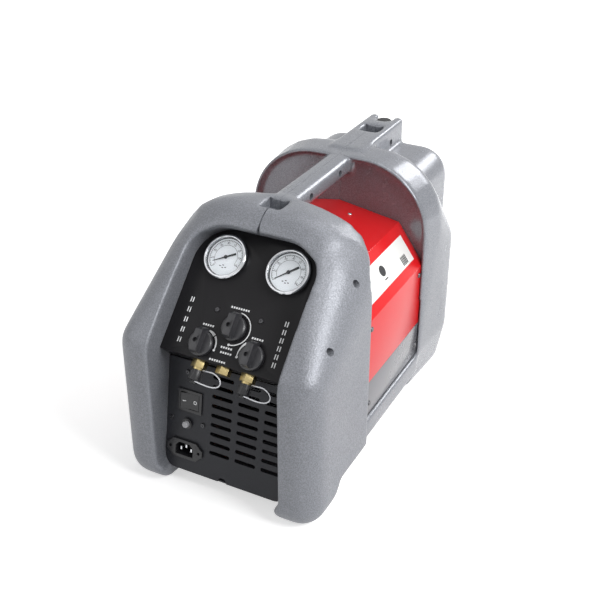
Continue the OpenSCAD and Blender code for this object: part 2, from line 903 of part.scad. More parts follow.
module valve_block() {
    color(brass_tone) on_valve_panel() difference() {
        translate([-block_x, block_low, block_z - block_t])
            cube([2 * block_x, block_high - block_low, block_t]);
        for (p = valve_places)
            translate([p[0], p[1], block_z - stem_in]) cylinder(r = stem_r + run_fit, h = stem_in + eps);
        for (x = [-port_x, 0, port_x]) translate([x, block_low - eps, -port_d])
            rotate([-90, 0, 0]) cylinder(r = spigot_r + 0.02, h = spigot_l + eps);
    }
}

module stem(place) {
    on_valve_panel() translate([place[0], place[1], block_z - stem_in + 0.5])
        cylinder(r = stem_r, h = stem_in + sheet_t + knob_h - 7);
}

// Round skirt with a raised grip bar that points up the panel
module knob(place) {
    on_valve_panel() translate([place[0], place[1], knob_gap]) difference() {
        union() {
            rotate_extrude($fn = 64)
                polygon([[0, 0], [knob_r, 0], [knob_r, skirt_h - 1.5], [knob_r - 1.5, skirt_h],
                         [0, skirt_h]]);
            rotate([90, 0, 90]) translate([0, 0, -bar_w / 2]) linear_extrude(bar_w)
                polygon([[-bar_l, bar_low], [2 - bar_l, knob_h - 1], [4 - bar_l, knob_h],
                         [knob_r - 2, knob_h], [knob_r + bar_over, skirt_h], [knob_r + bar_over, bar_low]]);
        }
        translate([0, 0, -eps]) cylinder(r = stem_r, h = knob_h - 6 + eps);
        translate([-bar_w, 0, skirt_h + 2.5]) rotate([0, 90, 0]) cylinder(r = set_screw_r, h = bar_w);
    }
}

module input_stem() { color(brass_tone) stem(valve_places[0]); }
module mode_stem() { color(brass_tone) stem(valve_places[1]); }
module output_stem() { color(brass_tone) stem(valve_places[2]); }
module input_knob() { color(sheet_black) knob(valve_places[0]); }
module mode_knob() { color(sheet_black) knob(valve_places[1]); }
module output_knob() { color(sheet_black) knob(valve_places[2]); }

// Ports, caps and tethers

// Port frame: z points down the slope, out of the port
module at_port(x) {
    on_valve_panel() translate([x, 0, -port_d]) rotate([90, 0, 0]) children();
}

module port(x, thread) {
    at_port(x) {
        rotate([0, 0, 30]) cylinder(r = hex_af / sqrt(3), h = hex_l, $fn = 6);
        translate([0, 0, -sheet_t - spigot_l + 0.5]) cylinder(r = spigot_r, h = sheet_t + spigot_l);
        if (thread > 0) {
            cylinder(r = neck_r, h = hex_l + neck_l);
            cylinder(r = thread_r, h = hex_l + thread - 2);
            translate([0, 0, hex_l + thread - 2.05]) cylinder(r1 = thread_r, r2 = thread_r - 1.6, h = 2);
        }
    }
}

module cap(x) {
    at_port(x) translate([0, 0, cap_gap]) difference() {
        union() {
            cylinder(r = cap_r, h = cap_l);
            for (a = [0:30:330]) rotate([0, 0, a]) translate([cap_r, 0, 1])
                cylinder(r = rib_r, h = cap_l - 2, $fn = 16);
            cylinder(r = stud_r, h = cap_l + stud_l + 0.1);
            translate([0, 0, cap_l + stud_l]) cylinder(r = button_r, h = button_l);
        }
        translate([0, 0, -eps]) cylinder(r = thread_r + run_fit, h = cap_l - 1.5 + eps);
    }
}

// Ring of points round one point of a route that heads along t
function ring(p, t, r) =
    let (across = cross(t, [1, 0.15, 0.3]), side = across / norm(across), up = cross(side, t))
    [for (k = [0:sides - 1]) p + r * (cos(k * 360 / sides) * side + sin(k * 360 / sides) * up)];

// Direction of a route at point i
function heading(route, i) =
    let (d = route[min(i + 1, len(route) - 1)] - route[max(i - 1, 0)]) d / norm(d);

// Bend from a point r before the corner p to one r after it
function bend(before, p, after, r) =
    let (a = p + r * (before - p) / norm(before - p), b = p + r * (after - p) / norm(after - p))
    [for (t = [0:0.25:1]) (1 - t) * (1 - t) * a + 2 * t * (1 - t) * p + t * t * b];

// Route with each corner replaced by a bend
function bent(route, r) = let (last = len(route) - 1) concat([route[0]],
    [for (i = [1:last - 1]) each bend(route[i - 1], route[i], route[i + 1], r)], [route[last]]);

// Round tube of eight sides along a route
module tube(route, r) {
    n = len(route);
    points = [for (i = [0:n - 1]) each ring(route[i], heading(route, i), r)];
    walls = [for (i = [0:n - 2], k = [0:sides - 1])
        let (a = sides * i + k, b = sides * i + (k + 1) % sides)
        each [[a, a + sides, b + sides], [a, b + sides, b]]];
    polyhedron(points, concat([[for (k = [0:sides - 1]) k]], walls,
        [[for (k = [sides - 1:-1:0]) sides * (n - 1) + k]]));
}

module input_port() { color(brass_tone) port(-port_x, thread_l); }
module purge_port() { color(brass_tone) port(0, 0); }
module output_port() { color(brass_tone) port(port_x, thread_l); }
module input_cap() { color(rubber_black) cap(-port_x); }
module output_cap() { color(rubber_black) cap(port_x); }
module input_tether() { color(steel_tone) translate([-port_x, 0, 0]) tube(tether_loop, tether_d / 2); }
module output_tether() { color(steel_tone) translate([port_x, 0, 0]) tube(tether_loop, tether_d / 2); }

// Power fittings

module switch_frame() {
    color(rubber_black) on_vent_panel() translate([rocker_x, rocker_up, 0]) difference() {
        union() {
            translate([-rocker_w / 2, -rocker_h / 2, 0]) cube([rocker_w, rocker_h, rim_h]);
            translate([-rocker_w / 2 + rim_w, -rocker_h / 2 + rim_w, -switch_d])
                cube([rocker_w - 2 * rim_w, rocker_h - 2 * rim_w, switch_d]);
        }
        translate([-switch_in_w / 2, -switch_in_h / 2, -switch_in_d])
            cube([switch_in_w, switch_in_h, 2 * switch_in_d]);
        translate([0, switch_in_h / 2 + pin_l + 0.3, pivot_z]) rotate([90, 0, 0])
            cylinder(r = pivot_r + run_fit, h = switch_in_h + 2 * pin_l + 0.6);
    }
}

// Paddle with a shallow valley, resting with its right half pressed in
module switch_paddle() {
    half = switch_in_w / 2 - 1.2;
    color(panel_black) on_vent_panel() translate([rocker_x, rocker_up, pivot_z]) {
        rotate([90, rocker_swing / 2, 0]) translate([0, 0, -switch_in_h / 2 + paddle_gap / 2])
            linear_extrude(switch_in_h - paddle_gap)
                polygon([[-half, -3], [-half, 5.2], [0, 3.6], [half, 5.2], [half, -3], [0, -6]]);
        rotate([90, 0, 0]) translate([0, 0, -switch_in_h / 2 - pin_l])
            cylinder(r = pivot_r, h = switch_in_h + 2 * pin_l);
    }
}

module breaker_body() {
    color(rubber_black) on_vent_panel() translate([reset_x, reset_up, 0]) difference() {
        union() {
            cylinder(r = collar_r, h = collar_h);
            translate([0, 0, -breaker_in]) cylinder(r = collar_r - 1.5, h = breaker_in + eps);
            translate([-breaker_w / 2, -breaker_h / 2, -breaker_d])
                cube([breaker_w, breaker_h, breaker_d - 3 * sheet_t]);
        }
        translate([0, 0, -reset_bore]) cylinder(r = reset_r + run_fit, h = 2 * reset_bore);
    }
}

module reset_button() {
    chamfer = 1;
    low = -reset_bore + reset_travel + 1;
    top = collar_h + reset_out;
    color("#BFC0C3") on_vent_panel() translate([reset_x, reset_up, 0]) {
        translate([0, 0, low]) cylinder(r = reset_r, h = top - chamfer - low);
        translate([0, 0, top - chamfer]) cylinder(r1 = reset_r, r2 = reset_r - chamfer, h = chamfer);
    }
}

// Flange of the mains inlet, drawn for its right half
inlet_flange = [[inlet_w / 2 + 2, -12], [inlet_ear - 3, -6], [inlet_ear, -4], [inlet_ear, 4],
    [inlet_ear - 3, 6], [inlet_w / 2 + 2, 12]];
// Socket with its two upper corners cut
inlet_socket = [[socket_w / 2, -socket_h / 2], [socket_w / 2, socket_h / 2 - socket_cut],
    [socket_w / 2 - socket_cut, socket_h / 2]];

// Outline whose right half is given from its lowest to its highest point
function both_sides(right) =
    concat(right, [for (i = [len(right) - 1:-1:0]) [-right[i][0], right[i][1]]]);

module inlet_body() {
    color(rubber_black) on_vent_panel() translate([inlet_x, inlet_up, 0]) difference() {
        union() {
            linear_extrude(inlet_t) polygon(both_sides(inlet_flange));
            translate([-inlet_w / 2, -inlet_h / 2, -socket_d - inlet_t])
                cube([inlet_w, inlet_h, socket_d + inlet_t + eps]);
        }
        translate([0, 0, -socket_d]) linear_extrude(socket_d + 2 * inlet_t)
            polygon(both_sides(inlet_socket));
        for (s = [-1, 1]) translate([s * (inlet_ear - 5), 0, -eps]) cylinder(r = 1.8, h = 2 * inlet_t);
    }
}

// Three flat blades; the earth blade stands above the other two
module inlet_pins() {
    color(steel_tone) on_vent_panel() translate([inlet_x, inlet_up, -socket_d])
        for (p = [[-pin_gap, -2], [0, 2], [pin_gap, -2]])
            translate([p[0] - 1, p[1] - 2, 0]) cube([2, 4, socket_d - 2]);
}

// Compressor set

module rubber_mounts() {
    color(rubber_black) from_front() for (s = [-1, 1], y = mount_ys)
        translate([s * (cradle_x - 14), y, tray_floor]) rotate_extrude()
            polygon([[0, 0], [mount_r, 0], [mount_r, 3], [mount_r - 3, mount_h / 2],
                     [mount_r, mount_h - 3], [mount_r, mount_h], [0, mount_h]]);
}

module motor_cradle() {
    color(tray_grey) from_front() {
        translate([-cradle_x, case_y0 - 4, cradle_z])
            cube([2 * cradle_x, motor_y1 - case_y0 + 4, cradle_t]);
        for (y = [motor_y0 + 14, motor_y1 - 20]) difference() {
            translate([-cradle_x + 8, y, cradle_z]) cube([2 * cradle_x - 16, saddle_t, motor_r * 0.55]);
            translate([0, y - eps, motor_z]) rotate([-90, 0, 0])
                cylinder(r = motor_r + seat_gap, h = saddle_t + 2 * eps);
        }
    }
}

module motor() {
    color("#5A5C62") from_front() translate([0, motor_y0, motor_z]) rotate([-90, 0, 0])
        rotate_extrude($fn = 64)
            polygon([[0, 0], [motor_r - 6, 0], [motor_r, 6], [motor_r, motor_l - 10],
                     [motor_r - 10, motor_l], [0, motor_l]]);
}

module crankcase() {
    color("#A8AAAE") from_front() {
        translate([-case_x, case_y0, cradle_z + cradle_t])
            cube([2 * case_x, case_l, motor_z + 36 - cradle_z - cradle_t]);
        translate([0, case_y0, motor_z]) rotate([90, 0, 0]) cylinder(r = 30, h = 5);
    }
}

// Finned cylinder on the crankcase's side, with its head
module finned_cylinder(s) {
    span = head_x - case_x - head_t;
    color("#B4B6BA") from_front() translate([s * case_x, head_y, motor_z]) rotate([0, s * 90, 0]) {
        cylinder(r = fin_r - 10, h = span + 0.1);
        for (i = [0:fin_count - 1]) translate([0, 0, 3 + i * (span - 8) / (fin_count - 1)])
            cylinder(r = fin_r, h = 2);
        translate([-fin_r + 4, -fin_r + 4, span]) cube([2 * fin_r - 8, 2 * fin_r - 8, head_t]);
    }
}
module left_cylinder() { finned_cylinder(-1); }
module right_cylinder() { finned_cylinder(1); }

module capacitor() {
    color("#2B2C30") from_front() translate([filter_x, motor_y1 - 22, tray_floor]) {
        cylinder(r = can_r, h = can_h);
        for (s = [-1, 1]) translate([s * 5, 0, can_h - 0.1]) cylinder(r = 1.5, h = 8);
    }
}

module filter() {
    color(copper_tone) from_front() translate([-filter_x, filter_y0, filter_mid]) rotate([-90, 0, 0])
        rotate_extrude() polygon([[0, 0], [5, 0], [filter_r, 10], [filter_r, filter_l - 10],
                                  [5, filter_l], [0, filter_l]]);
}

// Copper pipe with round bends along a list of points
module pipe(route, r) {
    tube(bent(route, 2 * r), r);
}

// Point of the valve panel's frame, given in the frame that starts at the front
function on_panel(x, y, z) =
    [x, panel_y + y * cos(lean) - z * sin(lean), panel_z + y * sin(lean) + z * cos(lean)];

module suction_line() {
    color(copper_tone) from_front() pipe([
        on_panel(-knob_x, line_up, block_back), on_panel(-knob_x, line_up, block_back - line_out),
        [-filter_x, front_l - 36, filter_mid + 90], [-filter_x, front_l - 20, filter_mid],
        [-filter_x, filter_y0, filter_mid]], tube_r);
}
module intake_line() {
    bend_y = filter_y0 + filter_l + 12;
    color(copper_tone) from_front() pipe([
        [-filter_x, filter_y0 + filter_l, filter_mid], [-filter_x, bend_y, filter_mid],
        [-filter_x, bend_y, line_top], [-head_mid, head_y + 30, line_top],
        [-head_mid, head_y, line_top], [-head_mid, head_y, head_top]], tube_r);
}
module discharge_line() {
    end_x = inner_x - line_out;
    color(copper_tone) from_front() pipe([
        [head_mid, head_y, head_top], [head_mid, head_y, line_top], [head_mid, head_y + 30, line_top],
        [end_x, body_y1 - 30, line_top], [end_x, coil_y, line_top]], tube_r);
}
module return_line() {
    start_x = inner_x - 30;
    high = duct_high - 18;
    color(copper_tone) from_front() pipe([
        [start_x, coil_y, high], [start_x, front_l + 4, high],
        on_panel(knob_x, line_up, block_back - line_out), on_panel(knob_x, line_up, block_back)], tube_r);
}
module gauge_lines() {
    low = block_high - 8;
    back = block_back - 6;
    color(copper_tone) from_front() for (x = [-gauge_x, gauge_x]) pipe([
        on_panel(x, gauge_line_up, -gauge_d), on_panel(x, gauge_line_up, back),
        on_panel(x, low, back), on_panel(x, low, block_back)], gauge_tube_r);
}

// Condenser and fan

module condenser() {
    color("#B9BCC0") from_front() {
        translate([-coil_x, coil_y + 8, coil_low]) cube([2 * coil_x, coil_d - 16, coil_h]);
        for (i = [0:coil_fins - 1])
            translate([-coil_x + i * (2 * coil_x - fin_t) / (coil_fins - 1), coil_y, coil_low])
                cube([fin_t, coil_d, coil_h]);
    }
}

module fan() {
    color("#2A2B2F") from_front() translate([0, fan_y, barrel_mid]) rotate([-90, 0, 0]) difference() {
        union() {
            cylinder(r = hub_r, h = hub_l);
            intersection() {
                difference() {
                    translate([0, 0, 1]) cylinder(r = fan_r, h = hub_l - 2);
                    translate([0, 0, -eps]) cylinder(r = hub_r - 2, h = hub_l + 2 * eps);
                }
                for (i = [0:blade_count - 1]) rotate([0, 0, i * 360 / blade_count])
                    translate([hub_r - 3, 0, hub_l / 2]) rotate([35, 0, 0])
                        translate([0, -fan_r / 2, -blade_t / 2]) cube([fan_r, fan_r, blade_t]);
            }
        }
        translate([0, 0, 4]) cylinder(r = shaft_r, h = hub_l);
    }
}

module fan_shaft() {
    color(steel_tone) from_front() translate([0, fan_y + 4, barrel_mid]) rotate([-90, 0, 0])
        cylinder(r = shaft_r, h = hub_l + 14);
}

module fan_motor() {
    color("#4A4C52") from_front() translate([0, guard_y - fan_motor_l, barrel_mid]) rotate([-90, 0, 0])
        difference() {
            cylinder(r = fan_motor_r, h = fan_motor_l);
            translate([0, 0, -eps]) cylinder(r = shaft_r + run_fit, h = fan_motor_l - 4 + eps);
        }
}

// Round grille on the inside of the outlet, which carries the fan's motor
module fan_guard() {
    rim_r = outlet_r + 4;
    step = (rim_r - fan_motor_r) / 4;
    color(rubber_black) from_front() translate([0, guard_y, barrel_mid]) rotate([-90, 0, 0]) {
        cylinder(r = fan_motor_r, h = guard_t);
        for (r = [fan_motor_r + step:step:rim_r]) difference() {
            cylinder(r = r, h = guard_t);
            translate([0, 0, -eps]) cylinder(r = r - guard_bar, h = guard_t + 2 * eps);
        }
        for (a = [0:45:315]) rotate([0, 0, a]) translate([fan_motor_r - 2, -guard_bar / 2, 0])
            cube([rim_r - fan_motor_r, guard_bar, guard_t]);
    }
}

module rear_bumper() {
    color(rubber_black) from_front() translate([0, bumper_y, body_h - pocket_d]) rotate_extrude()
        polygon([[0, 0], [bumper_r, 0], [bumper_r, pocket_d - 5], [bumper_r - 2, pocket_d - 3],
                 [0, pocket_d - 3]]);
}

shell_left();
shell_right();
shell_screws();
tray();
tray_seals();
hood();
hood_screws();
valve_panel();
vent_panel();
panel_screws();
input_gauge_case();
output_gauge_case();
input_dial();
output_dial();
input_lens();
output_lens();
input_needle();
output_needle();
valve_block();
input_stem();
mode_stem();
output_stem();
input_knob();
mode_knob();
output_knob();
input_port();
purge_port();
output_port();
input_cap();
output_cap();
input_tether();
output_tether();
switch_frame();
switch_paddle();
breaker_body();
reset_button();
inlet_body();
inlet_pins();
motor();
motor_cradle();
crankcase();
left_cylinder();
right_cylinder();
rubber_mounts();
capacitor();
filter();
suction_line();
intake_line();
discharge_line();
return_line();
gauge_lines();
condenser();
fan();
fan_shaft();
fan_motor();
fan_guard();
rear_bumper();
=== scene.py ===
"""Looks of a portable refrigerant recovery machine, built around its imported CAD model."""

import json
import math

import bpy
from mathutils import Matrix, Vector


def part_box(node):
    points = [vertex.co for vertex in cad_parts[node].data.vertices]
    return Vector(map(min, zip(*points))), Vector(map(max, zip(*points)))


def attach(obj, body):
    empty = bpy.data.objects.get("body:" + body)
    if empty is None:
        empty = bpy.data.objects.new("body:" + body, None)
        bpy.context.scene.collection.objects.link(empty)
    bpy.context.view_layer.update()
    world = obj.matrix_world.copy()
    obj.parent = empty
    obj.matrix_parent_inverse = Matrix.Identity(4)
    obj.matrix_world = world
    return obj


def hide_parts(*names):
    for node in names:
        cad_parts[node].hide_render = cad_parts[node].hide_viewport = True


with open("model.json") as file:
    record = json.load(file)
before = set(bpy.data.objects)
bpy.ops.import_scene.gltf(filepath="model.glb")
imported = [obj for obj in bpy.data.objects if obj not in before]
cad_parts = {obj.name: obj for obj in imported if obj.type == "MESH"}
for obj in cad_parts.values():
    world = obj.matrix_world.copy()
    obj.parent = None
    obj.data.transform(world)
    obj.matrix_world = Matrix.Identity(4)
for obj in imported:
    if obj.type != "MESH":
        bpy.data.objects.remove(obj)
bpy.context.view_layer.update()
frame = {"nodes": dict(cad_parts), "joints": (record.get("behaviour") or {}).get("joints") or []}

bl_info = {
    "name": "Refrigerant recovery machine",
    "version": (1, 0, 0),
    "blender": (4, 5, 0),
    "location": "3D View > Sidebar > Machine",
    "description": "Dresses the packed recovery machine with its finishes and small details",
    "category": "Object",
}

NODES = frame["nodes"]
JOINTS = {joint["name"]: joint for joint in frame["joints"]}
RIGHT = Vector((1, 0, 0))
MM = 0.001


def panel_matrix(origin, out):
    """Frame of a panel: x across, y up its face, z out of it."""
    out = Vector(out).normalized()
    up = out.cross(RIGHT)
    return Matrix.Translation(origin) @ Matrix((RIGHT, up, out)).transposed().to_4x4()


def joint_panel(name):
    """Frame of the valve panel with its origin at a joint."""
    return panel_matrix(Vector(JOINTS[name]["pos_m"]), JOINTS[name]["axis"])


VENT_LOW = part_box("vent_panel")[0]
VENT_OUT = -Vector(JOINTS["reset_press"]["axis"])
VENT_PANEL = panel_matrix(Vector((0, VENT_LOW.y, VENT_LOW.z)), VENT_OUT)
VALVE_PANEL = joint_panel("mode_valve_turn")


class MachineLooks(bpy.types.PropertyGroup):
    """Colours and sizes of the machine's finishes"""

    shell_colour: bpy.props.FloatVectorProperty(
        name="Shell", description="Moulded shell", subtype="COLOR", size=3,
        default=(0.215, 0.224, 0.248), min=0, max=1)
    hood_colour: bpy.props.FloatVectorProperty(
        name="Hood", description="Powder coat of the hood", subtype="COLOR", size=3,
        default=(0.66, 0.012, 0.015), min=0, max=1)
    tray_colour: bpy.props.FloatVectorProperty(
        name="Tray", description="Powder coat of the tray", subtype="COLOR", size=3,
        default=(0.135, 0.136, 0.15), min=0, max=1)
    panel_colour: bpy.props.FloatVectorProperty(
        name="Valve panel", description="Coat of the slanted valve panel", subtype="COLOR", size=3,
        default=(0.012, 0.0115, 0.013), min=0, max=1)
    vent_colour: bpy.props.FloatVectorProperty(
        name="Vent panel", description="Coat of the lower panel", subtype="COLOR", size=3,
        default=(0.026, 0.027, 0.032), min=0, max=1)
    brass_colour: bpy.props.FloatVectorProperty(
        name="Brass", description="Ports and stems", subtype="COLOR", size=3,
        default=(0.46, 0.37, 0.18), min=0, max=1)
    shell_voxel: bpy.props.FloatProperty(
        name="Shell mesh", description="Edge length of the softened shell's mesh", unit="LENGTH",
        default=0.0024, min=0.0015, max=0.006)
    shell_softness: bpy.props.IntProperty(
        name="Shell softness", description="Smoothing passes over the moulded edges",
        default=22, min=0, max=40)
    seam_width: bpy.props.FloatProperty(
        name="Seam", description="Bevel along the seam of the shell halves", unit="LENGTH",
        default=0.0006, min=0.0002, max=0.002)
    tether_diameter: bpy.props.FloatProperty(
        name="Tether", description="Diameter of a cap tether", unit="LENGTH",
        default=0.0016, min=0.0008, max=0.003)


def looks():
    return bpy.context.scene.machine_looks


# Number helpers


def ease(start, end, value):
    """Smooth step from zero at start to one at end."""
    part = min(1, max(0, (value - start) / (end - start)))
    return part * part * (3 - 2 * part)


def polar(radius, angle):
    return radius * math.cos(math.radians(angle)), radius * math.sin(math.radians(angle))


# Mesh helpers


def select_only(*objects):
    """Leaves only these objects selected, the first of them active."""
    if bpy.context.mode != "OBJECT":
        bpy.ops.object.mode_set(mode="OBJECT")
    bpy.ops.object.select_all(action="DESELECT")
    for obj in objects:
        obj.select_set(True)
    bpy.context.view_layer.objects.active = objects[0]


def apply(obj, kind, **values):
    """Adds a modifier with these values and applies it."""
    select_only(obj)
    modifier = obj.modifiers.new(kind, kind)
    for name, value in values.items():
        setattr(modifier, name, value)
    bpy.ops.object.modifier_apply(modifier=modifier.name)


def join(name, pieces):
    """Joins meshes into one object with this name."""
    select_only(*pieces)
    if len(pieces) > 1:
        bpy.ops.object.join()
    pieces[0].name = name
    return pieces[0]


def cad_copy(name, *nodes):
    """One mesh from copies of CAD nodes, with their doubles merged."""
    copies = []
    for node in nodes:
        copy = bpy.data.objects.new(name, NODES[node].data.copy())
        bpy.context.scene.collection.objects.link(copy)
        copy.data.materials.clear()
        copies.append(copy)
    piece = join(name, copies)
    bpy.ops.object.mode_set(mode="EDIT")
    bpy.ops.mesh.select_all(action="SELECT")
    bpy.ops.mesh.remove_doubles(threshold=0.00001)
    bpy.ops.object.mode_set(mode="OBJECT")
    return piece


def placed(name, matrix):
    """Names the new primitive and moves its mesh to a place, leaving the object at the origin."""
    piece = bpy.context.object
    piece.data.transform(matrix @ piece.matrix_world)
    piece.matrix_world = Matrix.Identity(4)
    piece.name = name
    return piece


def block(name, size, matrix):
    """Block of this size, centred at a place."""
    bpy.ops.object.select_all(action="DESELECT")
    bpy.ops.mesh.primitive_cube_add(size=1)
    bpy.context.object.data.transform(Matrix.Diagonal((*size, 1)))
    return placed(name, matrix)


def dress(piece, body, material, slot, *nodes, smooth_angle=35):
    """Gives a finished piece its shading, material, body and the nodes that it stands for."""
    select_only(piece)
    bpy.ops.object.shade_smooth_by_angle(angle=math.radians(smooth_angle))
    piece.data.materials.clear()
    piece.data.materials.append(material)
    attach(piece, body)
    if nodes:
        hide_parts(*nodes)
    return piece


def softened(name, node, body, material, slot, radius, segments=3, angle=30, cutter=None):
    """Copy of a CAD node with its sharp edges rounded and a cutter sunk into it."""
    piece = cad_copy(name, node)
    bpy.ops.object.mode_set(mode="EDIT")
    bpy.ops.mesh.select_all(action="SELECT")
    bpy.ops.mesh.dissolve_limited(angle_limit=math.radians(1))
    bpy.ops.object.mode_set(mode="OBJECT")
    apply(piece, "BEVEL", width=radius, segments=segments, limit_method="ANGLE",
          angle_limit=math.radians(angle), use_clamp_overlap=True, harden_normals=False)
    if cutter:
        apply(piece, "BOOLEAN", operation="DIFFERENCE", solver="MANIFOLD", object=cutter)
        bpy.data.objects.remove(cutter)
    return dress(piece, body, material, slot, node)


def paint(node, material):
    """Gives a CAD node that stays as it is its material."""
    materials = NODES[node].data.materials
    materials.clear()
    materials.append(material)


# Shared shader groups


def group_socket(tree, name, kind, into, value=None):
    socket = tree.interface.new_socket(name=name, in_out="INPUT" if into else "OUTPUT", socket_type=kind)
    if value is not None:
        socket.default_value = value
    return socket


def grain_group():
    """Moulded or coated grain: a mask of fine speckles and a height for bump."""
    name = "Moulded grain"
    if name in bpy.data.node_groups:
        return bpy.data.node_groups[name]
    tree = bpy.data.node_groups.new(name, "ShaderNodeTree")
    group_socket(tree, "Vector", "NodeSocketVector", True)
    group_socket(tree, "Scale", "NodeSocketFloat", True, 600.0)
    group_socket(tree, "Speckle", "NodeSocketFloat", False)
    group_socket(tree, "Height", "NodeSocketFloat", False)
    nodes, links = tree.nodes, tree.links
    inputs = nodes.new("NodeGroupInput")
    outputs = nodes.new("NodeGroupOutput")
    cells = nodes.new("ShaderNodeTexVoronoi")
    cells.feature = "SMOOTH_F1"
    cells.inputs["Smoothness"].default_value = 0.6
    noise = nodes.new("ShaderNodeTexNoise")
    noise.inputs["Detail"].default_value = 4
    finer = nodes.new("ShaderNodeMath")
    finer.operation = "MULTIPLY"
    finer.inputs[1].default_value = 1.7
    spread = nodes.new("ShaderNodeMapRange")
    spread.inputs["From Min"].default_value = 0.38
    spread.inputs["From Max"].default_value = 0.66
    height = nodes.new("ShaderNodeMath")
    height.operation = "ADD"
    for texture in (cells, noise):
        links.new(inputs.outputs["Vector"], texture.inputs["Vector"])
    links.new(inputs.outputs["Scale"], cells.inputs["Scale"])
    links.new(inputs.outputs["Scale"], finer.inputs[0])
    links.new(finer.outputs[0], noise.inputs["Scale"])
    links.new(noise.outputs["Fac"], spread.inputs["Value"])
    links.new(spread.outputs["Result"], outputs.inputs["Speckle"])
    links.new(cells.outputs["Distance"], height.inputs[0])
    links.new(noise.outputs["Fac"], height.inputs[1])
    links.new(height.outputs[0], outputs.inputs["Height"])
    return tree


def clouding_group():
    """Slow change over a surface, for handling marks and dust."""
    name = "Clouding"
    if name in bpy.data.node_groups:
        return bpy.data.node_groups[name]
    tree = bpy.data.node_groups.new(name, "ShaderNodeTree")
    group_socket(tree, "Vector", "NodeSocketVector", True)
    group_socket(tree, "Scale", "NodeSocketFloat", True, 9.0)
    group_socket(tree, "Cloud", "NodeSocketFloat", False)
    nodes, links = tree.nodes, tree.links
    inputs = nodes.new("NodeGroupInput")
    outputs = nodes.new("NodeGroupOutput")
    noise = nodes.new("ShaderNodeTexNoise")
    noise.inputs["Detail"].default_value = 5
    noise.inputs["Roughness"].default_value = 0.62
    links.new(inputs.outputs["Vector"], noise.inputs["Vector"])
    links.new(inputs.outputs["Scale"], noise.inputs["Scale"])
    links.new(noise.outputs["Fac"], outputs.inputs["Cloud"])
    return tree


def finish(name, colour, rough, metallic=0.0, coat=0.0, grain=600.0, speckle=0.08, bump=0.15,
           cloud=9.0, spread=0.06, depth=0.0003, specular=0.5, fade=None):
    """Material of one colour with grain in its colour and bump, and clouded roughness.

    Where fade gives two places along y, the bump falls to a fifth between them and the gloss rises.
    """
    if name in bpy.data.materials:
        return bpy.data.materials[name]
    material = bpy.data.materials.new(name)
    material.use_nodes = True
    nodes, links = material.node_tree.nodes, material.node_tree.links
    shader = nodes["Principled BSDF"]
    shader.inputs["Metallic"].default_value = metallic
    shader.inputs["Coat Weight"].default_value = coat
    shader.inputs["Coat Roughness"].default_value = 0.05
    shader.inputs["Specular IOR Level"].default_value = specular
    place = nodes.new("ShaderNodeTexCoord")
    grains = nodes.new("ShaderNodeGroup")
    grains.node_tree = grain_group()
    grains.inputs["Scale"].default_value = grain
    clouds = nodes.new("ShaderNodeGroup")
    clouds.node_tree = clouding_group()
    clouds.inputs["Scale"].default_value = cloud
    tone = nodes.new("ShaderNodeMix")
    tone.data_type = "RGBA"
    tone.inputs["A"].default_value = (*[c * (1 - speckle) for c in colour], 1)
    tone.inputs["B"].default_value = (*[min(1.0, c * (1 + speckle)) for c in colour], 1)
    sheen = nodes.new("ShaderNodeMapRange")
    sheen.inputs["From Min"].default_value = 0.3
    sheen.inputs["From Max"].default_value = 0.7
    sheen.inputs["To Min"].default_value = max(0.02, rough - spread)
    sheen.inputs["To Max"].default_value = min(1.0, rough + spread)
    relief = nodes.new("ShaderNodeBump")
    relief.inputs["Strength"].default_value = bump
    relief.inputs["Distance"].default_value = depth
    for texture in (grains, clouds):
        links.new(place.outputs["Object"], texture.inputs["Vector"])
    links.new(grains.outputs["Speckle"], tone.inputs["Factor"])
    links.new(tone.outputs["Result"], shader.inputs["Base Color"])
    links.new(clouds.outputs["Cloud"], sheen.inputs["Value"])
    links.new(sheen.outputs["Result"], shader.inputs["Roughness"])
    links.new(grains.outputs["Height"], relief.inputs["Height"])
    links.new(relief.outputs["Normal"], shader.inputs["Normal"])
    if fade:
        split = nodes.new("ShaderNodeSeparateXYZ")
        total = nodes.new("ShaderNodeMath")
        total.operation = "ADD"
        links.new(place.outputs["Object"], split.inputs[0])
        links.new(sheen.outputs["Result"], total.inputs[0])
        links.new(total.outputs[0], shader.inputs["Roughness"])
        polish = -0.19
        ramps = ((bump, bump / 5, relief.inputs["Strength"]), (0, polish, total.inputs[1]))
        for front, rear, socket in ramps:
            ramp = nodes.new("ShaderNodeMapRange")
            ramp.inputs["From Min"].default_value, ramp.inputs["From Max"].default_value = fade
            ramp.inputs["To Min"].default_value, ramp.inputs["To Max"].default_value = front, rear
            links.new(split.outputs["Y"], ramp.inputs["Value"])
            links.new(ramp.outputs["Result"], socket)
    return material


def shell_finish():
    return finish("Moulded shell", looks().shell_colour, 0.44, metallic=0.3, grain=420, speckle=0.2,
                  bump=0.4, cloud=14, spread=0.05, depth=0.0005, fade=(-0.09, -0.05))


def hood_finish():
    return finish("Red powder coat", looks().hood_colour, 0.3, coat=0.05, grain=900, speckle=0.03,
                  bump=0.03, cloud=6, spread=0.03, specular=0.22)


def tray_finish():
    return finish("Grey powder coat", looks().tray_colour, 0.3, coat=0.25, grain=900, speckle=0.05,
                  bump=0.05)


def panel_finish():
    return finish("Black panel coat", looks().panel_colour, 0.34, grain=1100, speckle=0.15, bump=0.06,
                  specular=0.16)


def vent_finish():
    return finish("Dark vent coat", looks().vent_colour, 0.4, grain=1100, speckle=0.15, bump=0.08,
                  specular=0.22)


def brass_finish():
    return finish("Turned brass", looks().brass_colour, 0.3, metallic=1.0, grain=300, speckle=0.06,
                  bump=0.04)


def chrome_finish():
    return finish("Bright bezel", (0.52, 0.53, 0.55), 0.14, metallic=1.0, grain=250, speckle=0.03,
                  bump=0.01)


def steel_finish():
    return finish("Bright steel", (0.62, 0.63, 0.65), 0.26, metallic=1.0, grain=700, speckle=0.06,
                  bump=0.04)


